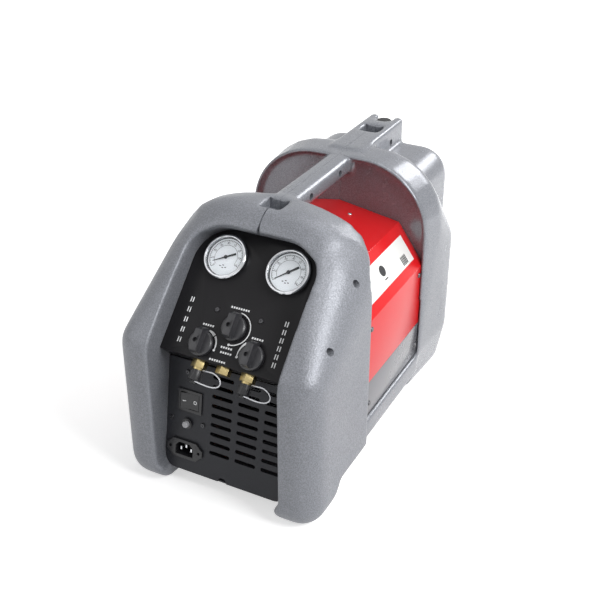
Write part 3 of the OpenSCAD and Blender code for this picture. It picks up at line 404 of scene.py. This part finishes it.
def dark_steel_finish():
    return finish("Blackened steel", (0.07, 0.07, 0.075), 0.32, metallic=0.9, grain=700, speckle=0.06,
                  bump=0.04)


def rubber_finish():
    return finish("Black rubber", (0.012, 0.012, 0.013), 0.62, grain=800, speckle=0.12, bump=0.12)


def knob_finish():
    return finish("Knob plastic", (0.030, 0.030, 0.034), 0.36, grain=900, speckle=0.1, bump=0.08)


def moulding_finish():
    return finish("Black moulding", (0.014, 0.014, 0.016), 0.38, grain=900, speckle=0.1, bump=0.06)


def ink_finish():
    return finish("White ink", (0.86, 0.87, 0.88), 0.5, grain=900, speckle=0.02, bump=0.03)


def dial_finish():
    return finish("Dial white", (0.68, 0.70, 0.72), 0.5, grain=900, speckle=0.02, bump=0.02)


def black_ink_finish():
    return finish("Black ink", (0.012, 0.012, 0.014), 0.5, grain=900, speckle=0.05, bump=0.03)


def glass_finish():
    material = bpy.data.materials.get("Gauge glass")
    if material:
        return material
    material = bpy.data.materials.new("Gauge glass")
    material.use_nodes = True
    nodes, links = material.node_tree.nodes, material.node_tree.links
    shader = nodes["Principled BSDF"]
    shader.inputs["Base Color"].default_value = (0.97, 0.98, 0.99, 1)
    shader.inputs["Transmission Weight"].default_value = 1.0
    shader.inputs["IOR"].default_value = 1.1
    place = nodes.new("ShaderNodeTexCoord")
    clouds = nodes.new("ShaderNodeGroup")
    clouds.node_tree = clouding_group()
    clouds.inputs["Scale"].default_value = 40
    haze = nodes.new("ShaderNodeMath")
    haze.operation = "MULTIPLY"
    haze.inputs[1].default_value = 0.05
    links.new(place.outputs["Object"], clouds.inputs["Vector"])
    links.new(clouds.outputs["Cloud"], haze.inputs[0])
    links.new(haze.outputs[0], shader.inputs["Roughness"])
    return material


# Operators


class MACHINE_OT_camera(bpy.types.Operator):
    """Sets the camera where the photograph was taken"""

    bl_idname = "machine.camera"
    bl_label = "Camera"

    def execute(self, context):
        bpy.ops.object.camera_add(location=(0.505, -1.0005, 0.798),
                                  rotation=(math.radians(60.3), 0, math.radians(27.35)))
        camera = context.object
        camera.data.sensor_width = 36
        camera.data.lens = 59.58
        context.scene.camera = camera
        return {"FINISHED"}


# Route of a cap tether, as in the part's source; x counts from the port
TETHER_LOOP = [
    (7, -216.2, 169.3), (11, -217.2, 170.4), (15, -218, 171.2), (19, -218.5, 171.8), (23, -219, 172),
    (27, -220, 171.2), (30.5, -221, 169.6), (33, -222, 167.4), (34.2, -223.2, 164.8),
    (33.6, -224.4, 162), (31, -225.4, 159.6), (26.5, -226.2, 158.2), (20, -227, 158),
    (13, -227.6, 159), (7, -228, 160.2), (3, -228, 160.8),
]
PORT_X = 32


class MACHINE_OT_tethers(bpy.types.Operator):
    """Runs a thin tether from each outer port to its cap"""

    bl_idname = "machine.tethers"
    bl_label = "Cap tethers"

    def execute(self, context):
        material = finish("Tether cord", (0.62, 0.63, 0.66), 0.4, metallic=0.5, grain=1500, speckle=0.2,
                          bump=0.3)
        for side, x in (("input", -PORT_X), ("output", PORT_X)):
            points = [Vector((x + p[0], p[1], p[2])) * MM for p in TETHER_LOOP]
            curve = bpy.data.curves.new(f"{side}_tether_cord", "CURVE")
            curve.dimensions = "3D"
            curve.bevel_depth = looks().tether_diameter / 2
            curve.bevel_resolution = 4
            curve.resolution_u = 6
            spline = curve.splines.new("BEZIER")
            spline.bezier_points.add(len(points) - 1)
            for knot, point in zip(spline.bezier_points, points):
                knot.co = point
                knot.handle_left_type = knot.handle_right_type = "AUTO"
            cord = bpy.data.objects.new(f"{side}_tether_cord", curve)
            context.scene.collection.objects.link(cord)
            curve.materials.append(material)
            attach(cord, "chassis")
            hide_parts(f"{side}_tether")
        return {"FINISHED"}


class MACHINE_OT_shell(bpy.types.Operator):
    """Rounds the moulded shell's edges, parts it along its seam and sinks its screw wells"""

    bl_idname = "machine.shell"
    bl_label = "Moulded shell"

    def execute(self, context):
        whole = cad_copy("shell_whole", "shell_left")
        self.open_seam(whole)
        apply(whole, "MIRROR", use_axis=(True, False, False), merge_threshold=0.00005)
        apply(whole, "REMESH", mode="VOXEL", voxel_size=looks().shell_voxel, adaptivity=0)
        apply(whole, "SMOOTH", factor=0.5, iterations=looks().shell_softness)
        self.lower_lip(whole)
        self.fill_shoulders(whole)
        for cutter in self.pockets() + self.groove() + self.wells():
            apply(whole, "BOOLEAN", operation="DIFFERENCE", solver="MANIFOLD", object=cutter)
            bpy.data.objects.remove(cutter)
        for side, sign in (("left", -1), ("right", 1)):
            half = whole.copy()
            half.data = whole.data.copy()
            half.name = f"shell_{side}_moulding"
            context.scene.collection.objects.link(half)
            self.part(half, sign)
            dress(half, "chassis", shell_finish(), "shell", f"shell_{side}", smooth_angle=40)
        bpy.data.objects.remove(whole)
        self.rim_bead()
        return {"FINISHED"}

    def rim_bead(self):
        """Rolled bead along the front edge of the rear arch."""
        side, top, radius, low, y = 0.1232, 0.329, 0.090, 0.150, 0.0838
        path = [Vector((-side, y, low))]
        for sign, start in ((-1, 180), (1, 90)):
            for i in range(25):
                x, z = polar(radius, start - 90 * i / 24)
                path.append(Vector((sign * (side - radius) + x, y, top - radius + z)))
        path.append(Vector((side, y, low)))
        curve = bpy.data.curves.new("rear_rim_bead", "CURVE")
        curve.dimensions = "3D"
        curve.bevel_depth = 0.0022
        curve.bevel_resolution = 4
        spline = curve.splines.new("POLY")
        spline.points.add(len(path) - 1)
        for knot, point in zip(spline.points, path):
            knot.co = (*point, 1)
        bead = bpy.data.objects.new("rear_rim_bead", curve)
        bpy.context.scene.collection.objects.link(bead)
        select_only(bead)
        bpy.ops.object.convert(target="MESH")
        dress(bpy.context.object, "chassis", shell_finish(), "shell")

    def open_seam(self, half):
        """Takes out the faces on the seam, so that the mirrored half joins into one skin."""
        bpy.ops.object.mode_set(mode="EDIT")
        bpy.ops.mesh.select_mode(type="FACE")
        bpy.ops.mesh.select_all(action="DESELECT")
        bpy.ops.object.mode_set(mode="OBJECT")
        for polygon in half.data.polygons:
            polygon.select = all(abs(half.data.vertices[i].co.x) < 0.00001 for i in polygon.vertices)
        bpy.ops.object.mode_set(mode="EDIT")
        bpy.ops.mesh.delete(type="FACE")
        bpy.ops.object.mode_set(mode="OBJECT")

    def lower_lip(self, whole):
        """Draws the crown's lip down over the top of the valve panel."""
        drop = 0.006
        flat = VALVE_PANEL.inverted()
        up = VALVE_PANEL.col[1].to_3d()
        for vertex in whole.data.vertices:
            x, height, out = flat @ vertex.co
            across = ease(0.085, 0.062, abs(x))
            along = ease(0.070, 0.100, height) * ease(0.128, 0.113, height)
            vertex.co -= up * drop * across * along * ease(0, 0.024, out)

    def fill_shoulders(self, whole):
        """Rounds the rear edge of the front arch outwards at its shoulders."""
        fill, arch_end = 0.0135, -0.03
        for vertex in whole.data.vertices:
            x, y, z = vertex.co
            if y < arch_end:
                weight = ease(0.080, 0.100, abs(x)) * ease(0.256, 0.290, z) * ease(0.318, 0.298, z)
                vertex.co.y += fill * weight * ease(-0.130, -0.098, y)

    def groove(self):
        """Cutters for the seam's groove over the crown and its flare at the recess."""
        floor = ((-99.7, 328), (-113.3, 325), (-119.1, 320.8), (-125.8, 313.3), (-127.6, 308.6),
                 (-126, 302))
        bpy.ops.object.select_all(action="DESELECT")
        bpy.ops.mesh.primitive_grid_add(x_subdivisions=len(floor) - 1, y_subdivisions=1, size=1)
        slot = bpy.context.object
        for vertex in slot.data.vertices:
            y, z = floor[round((vertex.co.x + 0.5) * (len(floor) - 1))]
            reach = 14 if vertex.co.y > 0 else 0
            vertex.co = Vector((0, y - reach, z + reach)) * MM
        slot = placed("groove_cutter", Matrix.Identity(4))
        apply(slot, "SOLIDIFY", thickness=0.0015, offset=0)
        throat_y, radius = -0.1215, 0.008
        bpy.ops.object.select_all(action="DESELECT")
        bpy.ops.mesh.primitive_grid_add(x_subdivisions=16, y_subdivisions=1, size=1)
        flare = bpy.context.object
        for vertex in flare.data.vertices:
            along = vertex.co.x + 0.5
            half = 0.0008 + radius * (1 - math.sqrt(1 - min(1, along) ** 2))
            vertex.co = (math.copysign(half, vertex.co.y), throat_y - radius * 1.3 * along, 0.325)
        flare = placed("flare_cutter", Matrix.Identity(4))
        apply(flare, "SOLIDIFY", thickness=0.07, offset=0)
        for cutter in (slot, flare):
            select_only(cutter)
            bpy.ops.object.mode_set(mode="EDIT")
            bpy.ops.mesh.select_all(action="SELECT")
            bpy.ops.mesh.normals_make_consistent(inside=False)
            bpy.ops.object.mode_set(mode="OBJECT")
        return [slot, flare]

    def pockets(self):
        """Square cutters for the pockets in crown and boss, just over the moulded ones."""
        size = (0.0264, 0.0254, 0.030)
        crown, boss = Vector((0, -0.087, 0.3325)), Vector((0, 0.1865, 0.3325))
        return [block("pocket_cutter", size, Matrix.Translation(place)) for place in (crown, boss)]

    def wells(self):
        """Round cutters over the heads of the shell screws."""
        screws = cad_copy("well_cutter", "shell_screws")
        bpy.ops.object.mode_set(mode="EDIT")
        bpy.ops.mesh.separate(type="LOOSE")
        bpy.ops.object.mode_set(mode="OBJECT")
        cutters = []
        for screw in list(bpy.context.selected_objects):
            corners = [vertex.co for vertex in screw.data.vertices]
            head_x = max(corner.x for corner in corners)
            y = sum(corner.y for corner in corners) / len(corners)
            z = sum(corner.z for corner in corners) / len(corners)
            bpy.data.objects.remove(screw)
            bpy.ops.object.select_all(action="DESELECT")
            bpy.ops.mesh.primitive_cylinder_add(vertices=32, radius=0.0044, depth=0.03,
                                                rotation=(0, math.radians(90), 0))
            cutters.append(placed("well_cutter", Matrix.Translation((head_x + 0.0135, y, z))))
        return cutters

    def part(self, half, sign):
        """Keeps one side of the seam and bevels its rim."""
        select_only(half)
        bpy.ops.object.mode_set(mode="EDIT")
        bpy.ops.mesh.select_all(action="SELECT")
        bpy.ops.mesh.bisect(plane_co=(0, 0, 0), plane_no=(sign, 0, 0), use_fill=True, clear_inner=True)
        bpy.ops.mesh.region_to_loop()
        bpy.ops.mesh.bevel(offset=looks().seam_width, segments=2, affect="EDGES")
        bpy.ops.object.mode_set(mode="OBJECT")


class MACHINE_OT_chassis(bpy.types.Operator):
    """Folds soft edges into hood and tray and lays the blank label plate on the hood"""

    bl_idname = "machine.chassis"
    bl_label = "Hood and tray"

    def execute(self, context):
        softened("hood_cover", "hood", "chassis", hood_finish(), "hood", 1.2 * MM)
        softened("tray_pan", "tray", "chassis", tray_finish(), "tray", 0.6 * MM)
        paint("tray_seals", rubber_finish())
        self.label()
        self.roof_screw()
        return {"FINISHED"}

    def roof_screw(self):
        """Bright screw head in the hood's roof."""
        bpy.ops.object.select_all(action="DESELECT")
        bpy.ops.mesh.primitive_uv_sphere_add(segments=24, ring_count=12, radius=1)
        bpy.context.object.data.transform(Matrix.Diagonal((0.0027, 0.0027, 0.0013, 1)))
        seat = Matrix.Translation((0.0274, 0.0627, 0.2617)) @ Matrix.Rotation(math.radians(9.4), 4, "Y")
        dress(placed("roof_screw", seat), "chassis", steel_finish(), "screw_steel")

    def label(self):
        """White plate on the hood's right slant, placed from the fold lines."""
        low, high = Vector((0.121, 0, 0.200)), Vector((0.085, 0, 0.252))
        up = (high - low).normalized()
        out = Vector((0, 1, 0)).cross(up).normalized()
        centre = low.lerp(high, 0.5) + Vector((0, 0.004, 0))
        slant = Matrix.Translation(centre) @ Matrix((Vector((0, 1, 0)), up, out)).transposed().to_4x4()
        plate = block("label_plate", (0.142, 0.036, 0.0006), slant @ Matrix.Translation((0, 0, 0.0002)))
        apply(plate, "BEVEL", width=0.0002, segments=2, limit_method="ANGLE")
        material = finish("Label film", (0.88, 0.88, 0.86), 0.35, coat=0.3, grain=500, speckle=0.015,
                          bump=0.02)
        dress(plate, "chassis", material, "dial")
        face = slant @ Matrix.Translation((0, 0, 0.0005))
        marks = [dot_mark(face, (-7, 2), 7), bar_mark(face, (-7, -9), 9, 1.6)]
        for i in range(5):
            marks.append(bar_mark(face, (43 + 3 * i, -9), 2, 12))
        dress(join("label_marks", marks), "chassis", black_ink_finish(), "needle")


class MACHINE_OT_panels(bpy.types.Operator):
    """Coats both panels and prints the plain control marks"""

    bl_idname = "machine.panels"
    bl_label = "Panels and marks"

    def execute(self, context):
        softened("valve_panel_sheet", "valve_panel", "chassis", panel_finish(), "valve_panel",
                 0.8 * MM)
        paint("vent_panel", vent_finish())
        # painted shade: dark strips over the floor behind the vent slots
        self.painted_shade_strips()
        marks = self.knob_marks() + self.side_marks()
        piece = join("panel_marks", marks)
        dress(piece, "chassis", ink_finish(), "dial")
        return {"FINISHED"}

    def painted_shade_strips(self):
        """Dark strips of painted shade under the gaps between the tray and the front legs, seen through
        the slots in place of the pale floor.
        """
        size = (0.034, 0.090, 0.001)
        for side, x in (("left", -0.084), ("right", 0.084)):
            strip = block(f"{side}_painted_shade_strip", size, Matrix.Translation((x, -0.110, 0.0205)))
            dress(strip, "chassis", rubber_finish(), "rubber")

    def knob_marks(self):
        turns = (("input_valve_turn", 42, -11, 17.8, 2.6, 1.0),
                 ("mode_valve_turn", 86, -91, 19.4, 1.2, 1.2),
                 ("output_valve_turn", 132, 191, 19.1, 2.6, 0.9))
        marks = []
        for joint, start, end, radius, width, end_width in turns:
            plane = joint_panel(joint)
            marks.append(arc_mark(plane, radius, start, end, width, end_width))
            marks.append(dot_mark(plane, polar(radius, end), 1.5))
        marks.append(arc_mark(joint_panel("input_valve_turn"), 17.3, 84, 47, 1.4, 3.8))
        return marks

    def side_marks(self):
        """Columns of upright strokes at the panel's sides and rows of dashes at the controls."""
        marks = []
        columns = ((-62.4, -0.04, 5, -28.4, 12.2), (60.6, -0.03, 6, -27.7, 9.6))
        valve_rows = ((-1.5, 23.7, 27), (-33, -3.8, 17), (31.5, -4.6, 17), (-1.5, -23.7, 18),
                      (0, -29.6, 18), (-7, -40.5, 24))
        vent_rows = ((-52, 115.6, 27), (-52, 77.5, 19), (-54.5, 53.3, 17), (-59, 12.5, 26))
        for x, lean, count, low, step in columns:
            for i in range(count):
                up = low + step * i
                for stroke in (-1.5, 1.5):
                    marks.append(bar_mark(VALVE_PANEL, (x + lean * (up - low) + stroke, up), 1.3, 6))
        for x, up, width in valve_rows:
            marks += dash_row(VALVE_PANEL, (x, up), width, 2.2)
        for x, up, width in vent_rows:
            marks += dash_row(VENT_PANEL, (x, up), width, 2.0)
        return marks


def dash_row(plane, centre, width, thick):
    """Row of short dashes where a control has its word."""
    pitch = 3.1
    count = int(width / pitch)
    first = centre[0] - pitch * (count - 1) / 2
    return [bar_mark(plane, (first + pitch * i, centre[1]), 2.1, thick) for i in range(count)]


def arc_mark(plane, radius, start, end, width, end_width, height=0.06):
    """Flat arc round the plane's origin, from start to end degrees, tapering to its end width."""
    bpy.ops.object.select_all(action="DESELECT")
    bpy.ops.mesh.primitive_grid_add(x_subdivisions=40, y_subdivisions=1, size=1)
    strip = bpy.context.object
    for vertex in strip.data.vertices:
        along = vertex.co.x + 0.5
        half = width + (end_width - width) * along
        x, y = polar(radius + vertex.co.y * half, start + (end - start) * along)
        vertex.co = Vector((x, y, height)) * MM
    return placed("arc", plane)


def dot_mark(plane, centre, radius, height=0.06):
    bpy.ops.object.select_all(action="DESELECT")
    bpy.ops.mesh.primitive_circle_add(vertices=24, radius=radius * MM, fill_type="NGON",
                                      location=Vector((*centre, height)) * MM)
    return placed("dot", plane)


def bar_mark(plane, centre, width, thick, height=0.06, turn=0.0):
    bpy.ops.object.select_all(action="DESELECT")
    bpy.ops.mesh.primitive_plane_add(size=1, location=Vector((*centre, height)) * MM,
                                     rotation=(0, 0, math.radians(turn)))
    bar = bpy.context.object
    bar.data.transform(Matrix.Diagonal((width * MM, thick * MM, 1, 1)))
    return placed("bar", plane)


class MACHINE_OT_gauges(bpy.types.Operator):
    """Polishes the bezels, prints the dials with plain numbers and paints a ring of shade at each dial's
    edge
    """

    bl_idname = "machine.gauges"
    bl_label = "Gauges"

    def execute(self, context):
        for side, start, sweep in (("input", 225, 250), ("output", 218, 257)):
            softened(f"{side}_gauge_bezel", f"{side}_gauge_case", "chassis", chrome_finish(), "bezel",
                     0.5 * MM)
            paint(f"{side}_dial", dial_finish())
            paint(f"{side}_lens", glass_finish())
            paint(f"{side}_needle", black_ink_finish())
            self.print_dial_and_shade_ring(side, start, sweep)
        return {"FINISHED"}

    def print_dial_and_shade_ring(self, side, start, sweep):
        plane = joint_panel(f"{side}_needle_turn")
        height, steps = 2.15, 40
        rim_shade_r, scale_r, inner_r, number_r = 23.2, 20.6, 14.6, 16.9
        # the full dark ring at the dial's edge is painted shade, the bezel's inner wall's shadow, drawn
        # in the black ink
        marks = [arc_mark(plane, rim_shade_r, start, start - 360, 0.9, 0.9, height),
                 arc_mark(plane, scale_r, start, start - sweep, 0.45, 0.45, height),
                 arc_mark(plane, inner_r, start, start - sweep, 0.4, 0.4, height)]
        for i in range(steps + 1):
            angle = start - sweep * i / steps
            long = i % 5 == 0
            marks.append(bar_mark(plane, polar(19.2 if long else 19.8, angle), 2.8 if long else 1.6,
                                  0.6 if long else 0.35, height, angle))
            if long:
                marks.append(self.number(plane, str(i * 2 // 5 * 5), polar(number_r, angle), height))
        for x, up in ((-3.6, -11.5), (0, -13), (3.6, -12.2), (0, -10)):
            marks.append(bar_mark(plane, (x, up), 2.2, 1.0, height))
        piece = join(f"{side}_dial_marks", marks)
        dress(piece, "chassis", black_ink_finish(), "needle")

    def number(self, plane, words, centre, height):
        bpy.ops.object.select_all(action="DESELECT")
        bpy.ops.object.text_add(location=Vector((*centre, height)) * MM)
        text = bpy.context.object
        text.data.body = words
        text.data.align_x = "CENTER"
        text.data.align_y = "CENTER"
        text.data.size = 3.6 * MM
        bpy.ops.object.convert(target="MESH")
        return placed("number", plane)


class MACHINE_OT_valves(bpy.types.Operator):
    """Finishes the knobs, stems, ports and caps"""

    bl_idname = "machine.valves"
    bl_label = "Valves and ports"

    def execute(self, context):
        for name in ("input", "mode", "output"):
            softened(f"{name}_knob_grip", f"{name}_knob", f"{name}_valve", knob_finish(), "knob",
                     0.7 * MM, cutter=self.screw_hole(name))
            paint(f"{name}_stem", brass_finish())
        for name in ("input", "purge", "output"):
            softened(f"{name}_port_brass", f"{name}_port", "chassis", brass_finish(), "brass",
                     0.35 * MM, 2)
        for name in ("input", "output"):
            softened(f"{name}_cap_moulding", f"{name}_cap", f"{name}_cover", moulding_finish(), "cap",
                     0.4 * MM, 2)
        paint("valve_block", brass_finish())
        return {"FINISHED"}

    def screw_hole(self, name):
        """Cutter for the clamping screw's hole in the top of a knob's bar."""
        bpy.ops.object.select_all(action="DESELECT")
        bpy.ops.mesh.primitive_cylinder_add(vertices=32, radius=0.0027, depth=0.008)
        top = Matrix.Translation((-0.0008, 0, 0.0175))
        return placed("hole_cutter", joint_panel(f"{name}_valve_turn") @ top)


class MACHINE_OT_power(bpy.types.Operator):
    """Finishes the switch, the breaker and the mains inlet"""

    bl_idname = "machine.power"
    bl_label = "Power fittings"

    def execute(self, context):
        softened("switch_rim", "switch_frame", "chassis", moulding_finish(), "switch", 0.5 * MM)
        softened("switch_rocker", "switch_paddle", "rocker", moulding_finish(), "switch", 0.4 * MM)
        softened("breaker_collar", "breaker_body", "chassis", moulding_finish(), "inlet", 0.5 * MM)
        reset = finish("Reset button", (0.42, 0.42, 0.44), 0.4, grain=800, speckle=0.05, bump=0.05)
        softened("reset_cap", "reset_button", "reset", reset, "reset", 0.6 * MM)
        softened("inlet_socket", "inlet_body", "chassis", moulding_finish(), "inlet", 0.5 * MM)
        paint("inlet_pins", steel_finish())
        self.rocker_marks()
        return {"FINISHED"}

    def rocker_marks(self):
        """Stroke and ring on the two sloping halves of the rocker, at its resting tilt."""
        tilt = Matrix.Rotation(math.radians(7), 4, "Y")
        hinge = Matrix.Translation(JOINTS["switch_rock"]["pos_m"]) @ VENT_PANEL.to_3x3().to_4x4() @ tilt
        halves = []
        for side in (-1, 1):
            slope = Matrix.Rotation(math.radians(-7.7 * side), 4, "Y")
            halves.append(hinge @ Matrix.Translation(Vector((7 * side, 0, 4.55)) * MM) @ slope)
        marks = [bar_mark(halves[0], (0, 0), 4.4, 1.0)]
        for start in (0, 180):
            marks.append(arc_mark(halves[1], 1.9, start, start + 180, 0.9, 0.9))
        dress(join("rocker_marks", marks), "rocker", ink_finish(), "dial")


class MACHINE_OT_fasteners(bpy.types.Operator):
    """Finishes the screws, the rear bumper and the fan's grille"""

    bl_idname = "machine.fasteners"
    bl_label = "Screws and small parts"

    def execute(self, context):
        for node in ("shell_screws", "hood_screws", "panel_screws"):
            paint(node, dark_steel_finish())
        softened("bumper", "rear_bumper", "chassis", rubber_finish(), "rubber", 0.8 * MM)
        paint("fan_guard", moulding_finish())
        return {"FINISHED"}


class MACHINE_OT_inside(bpy.types.Operator):
    """Finishes the compressor set, the pipes, the coil and the fan"""

    bl_idname = "machine.inside"
    bl_label = "Inside"

    def execute(self, context):
        casting = finish("Cast aluminium", (0.50, 0.51, 0.53), 0.45, metallic=1.0, grain=350, speckle=0.1,
                         bump=0.2)
        motor = finish("Motor enamel", (0.075, 0.08, 0.09), 0.4, grain=500, speckle=0.08, bump=0.1)
        copper = finish("Drawn copper", (0.62, 0.30, 0.17), 0.3, metallic=1.0, grain=200, speckle=0.08,
                        bump=0.04)
        fan = finish("Fan plastic", (0.018, 0.018, 0.02), 0.45, grain=700, speckle=0.08, bump=0.08)
        coats = {
            casting: ("crankcase", "left_cylinder", "right_cylinder", "condenser"),
            motor: ("motor", "fan_motor", "capacitor"),
            copper: ("filter", "suction_line", "intake_line", "discharge_line", "return_line",
                     "gauge_lines"),
            fan: ("fan",),
            tray_finish(): ("motor_cradle",),
            rubber_finish(): ("rubber_mounts",),
            steel_finish(): ("fan_shaft",),
        }
        for material, nodes in coats.items():
            for node in nodes:
                paint(node, material)
        return {"FINISHED"}


class MACHINE_OT_stage(bpy.types.Operator):
    """Pale floor, white surroundings and soft studio light"""

    bl_idname = "machine.stage"
    bl_label = "Stage"

    def execute(self, context):
        bpy.ops.object.select_all(action="DESELECT")
        bpy.ops.mesh.primitive_plane_add(size=12)
        floor = context.object
        floor.name = "floor"
        floor.data.materials.append(self.floor_material())
        self.white_world(context.scene)
        self.lamp("key", (1.6, -0.35, 1.5), 0.9, 35)
        self.lamp("fill", (-1.2, -1.6, 1.2), 1.6, 7)
        self.lamp("overhead", (0.2, 0.4, 2.2), 1.2, 10)
        self.lamp("rim", (0.6, 1.5, 1.15), 0.7, 12)
        context.scene.view_settings.view_transform = "Standard"
        return {"FINISHED"}

    def lamp(self, name, place, size, watts):
        bpy.ops.object.light_add(type="AREA", location=place)
        lamp = bpy.context.object
        lamp.name = name
        lamp.data.size = size
        lamp.data.energy = watts
        aim = Vector((0, 0, 0.15)) - Vector(place)
        lamp.rotation_euler = aim.to_track_quat("-Z", "Y").to_euler()

    def seen_ray(self, nodes, links):
        """One where a ray from the camera, a reflection or a glass arrives, else zero."""
        path = nodes.new("ShaderNodeLightPath")
        first = nodes.new("ShaderNodeMath")
        first.operation = "MAXIMUM"
        second = nodes.new("ShaderNodeMath")
        second.operation = "MAXIMUM"
        links.new(path.outputs["Is Camera Ray"], first.inputs[0])
        links.new(path.outputs["Is Glossy Ray"], first.inputs[1])
        links.new(first.outputs[0], second.inputs[0])
        links.new(path.outputs["Is Transmission Ray"], second.inputs[1])
        return second.outputs[0]

    def floor_material(self):
        material = bpy.data.materials.new("Pale floor")
        material.use_nodes = True
        nodes, links = material.node_tree.nodes, material.node_tree.links
        shader = nodes["Principled BSDF"]
        shader.inputs["Base Color"].default_value = (0.8, 0.8, 0.8, 1)
        shader.inputs["Roughness"].default_value = 0.9
        shader.inputs["Specular IOR Level"].default_value = 0.0
        shader.inputs["Emission Color"].default_value = (1, 1, 1, 1)
        place = nodes.new("ShaderNodeTexCoord")
        far = nodes.new("ShaderNodeVectorMath")
        far.operation = "LENGTH"
        fade = nodes.new("ShaderNodeMapRange")
        fade.inputs["From Min"].default_value = 0.4
        fade.inputs["From Max"].default_value = 1.6
        fade.inputs["To Min"].default_value = 0.56
        fade.inputs["To Max"].default_value = 1.0
        lift = nodes.new("ShaderNodeMath")
        lift.operation = "MULTIPLY"
        links.new(place.outputs["Object"], far.inputs[0])
        links.new(far.outputs["Value"], fade.inputs["Value"])
        links.new(self.seen_ray(nodes, links), lift.inputs[0])
        links.new(fade.outputs["Result"], lift.inputs[1])
        links.new(lift.outputs[0], shader.inputs["Emission Strength"])
        return material

    def white_world(self, scene):
        world = bpy.data.worlds.new("Studio")
        scene.world = world
        world.use_nodes = True
        nodes, links = world.node_tree.nodes, world.node_tree.links
        background = nodes["Background"]
        background.inputs["Color"].default_value = (1, 1, 1, 1)
        level = nodes.new("ShaderNodeMapRange")
        level.inputs["To Min"].default_value = 0.25
        level.inputs["To Max"].default_value = 1.0
        links.new(self.seen_ray(nodes, links), level.inputs["Value"])
        links.new(level.outputs["Result"], background.inputs["Strength"])


STEPS = (MACHINE_OT_camera, MACHINE_OT_tethers, MACHINE_OT_shell, MACHINE_OT_chassis,
         MACHINE_OT_panels, MACHINE_OT_gauges, MACHINE_OT_valves, MACHINE_OT_power,
         MACHINE_OT_fasteners, MACHINE_OT_inside, MACHINE_OT_stage)


class MACHINE_PT_sidebar(bpy.types.Panel):
    """Steps that dress the machine"""

    bl_label = "Recovery machine"
    bl_space_type = "VIEW_3D"
    bl_region_type = "UI"
    bl_category = "Machine"

    def draw(self, context):
        for name in MachineLooks.__annotations__:
            self.layout.prop(context.scene.machine_looks, name)
        for step in STEPS:
            self.layout.operator(step.bl_idname)


CLASSES = (MachineLooks, *STEPS, MACHINE_PT_sidebar)


def register():
    for each in CLASSES:
        bpy.utils.register_class(each)
    bpy.types.Scene.machine_looks = bpy.props.PointerProperty(type=MachineLooks)


def unregister():
    del bpy.types.Scene.machine_looks
    for each in reversed(CLASSES):
        bpy.utils.unregister_class(each)


def main():
    register()
    for step in STEPS:
        group, name = step.bl_idname.split(".")
        getattr(getattr(bpy.ops, group), name)()


if __name__ == "__main__":
    main()
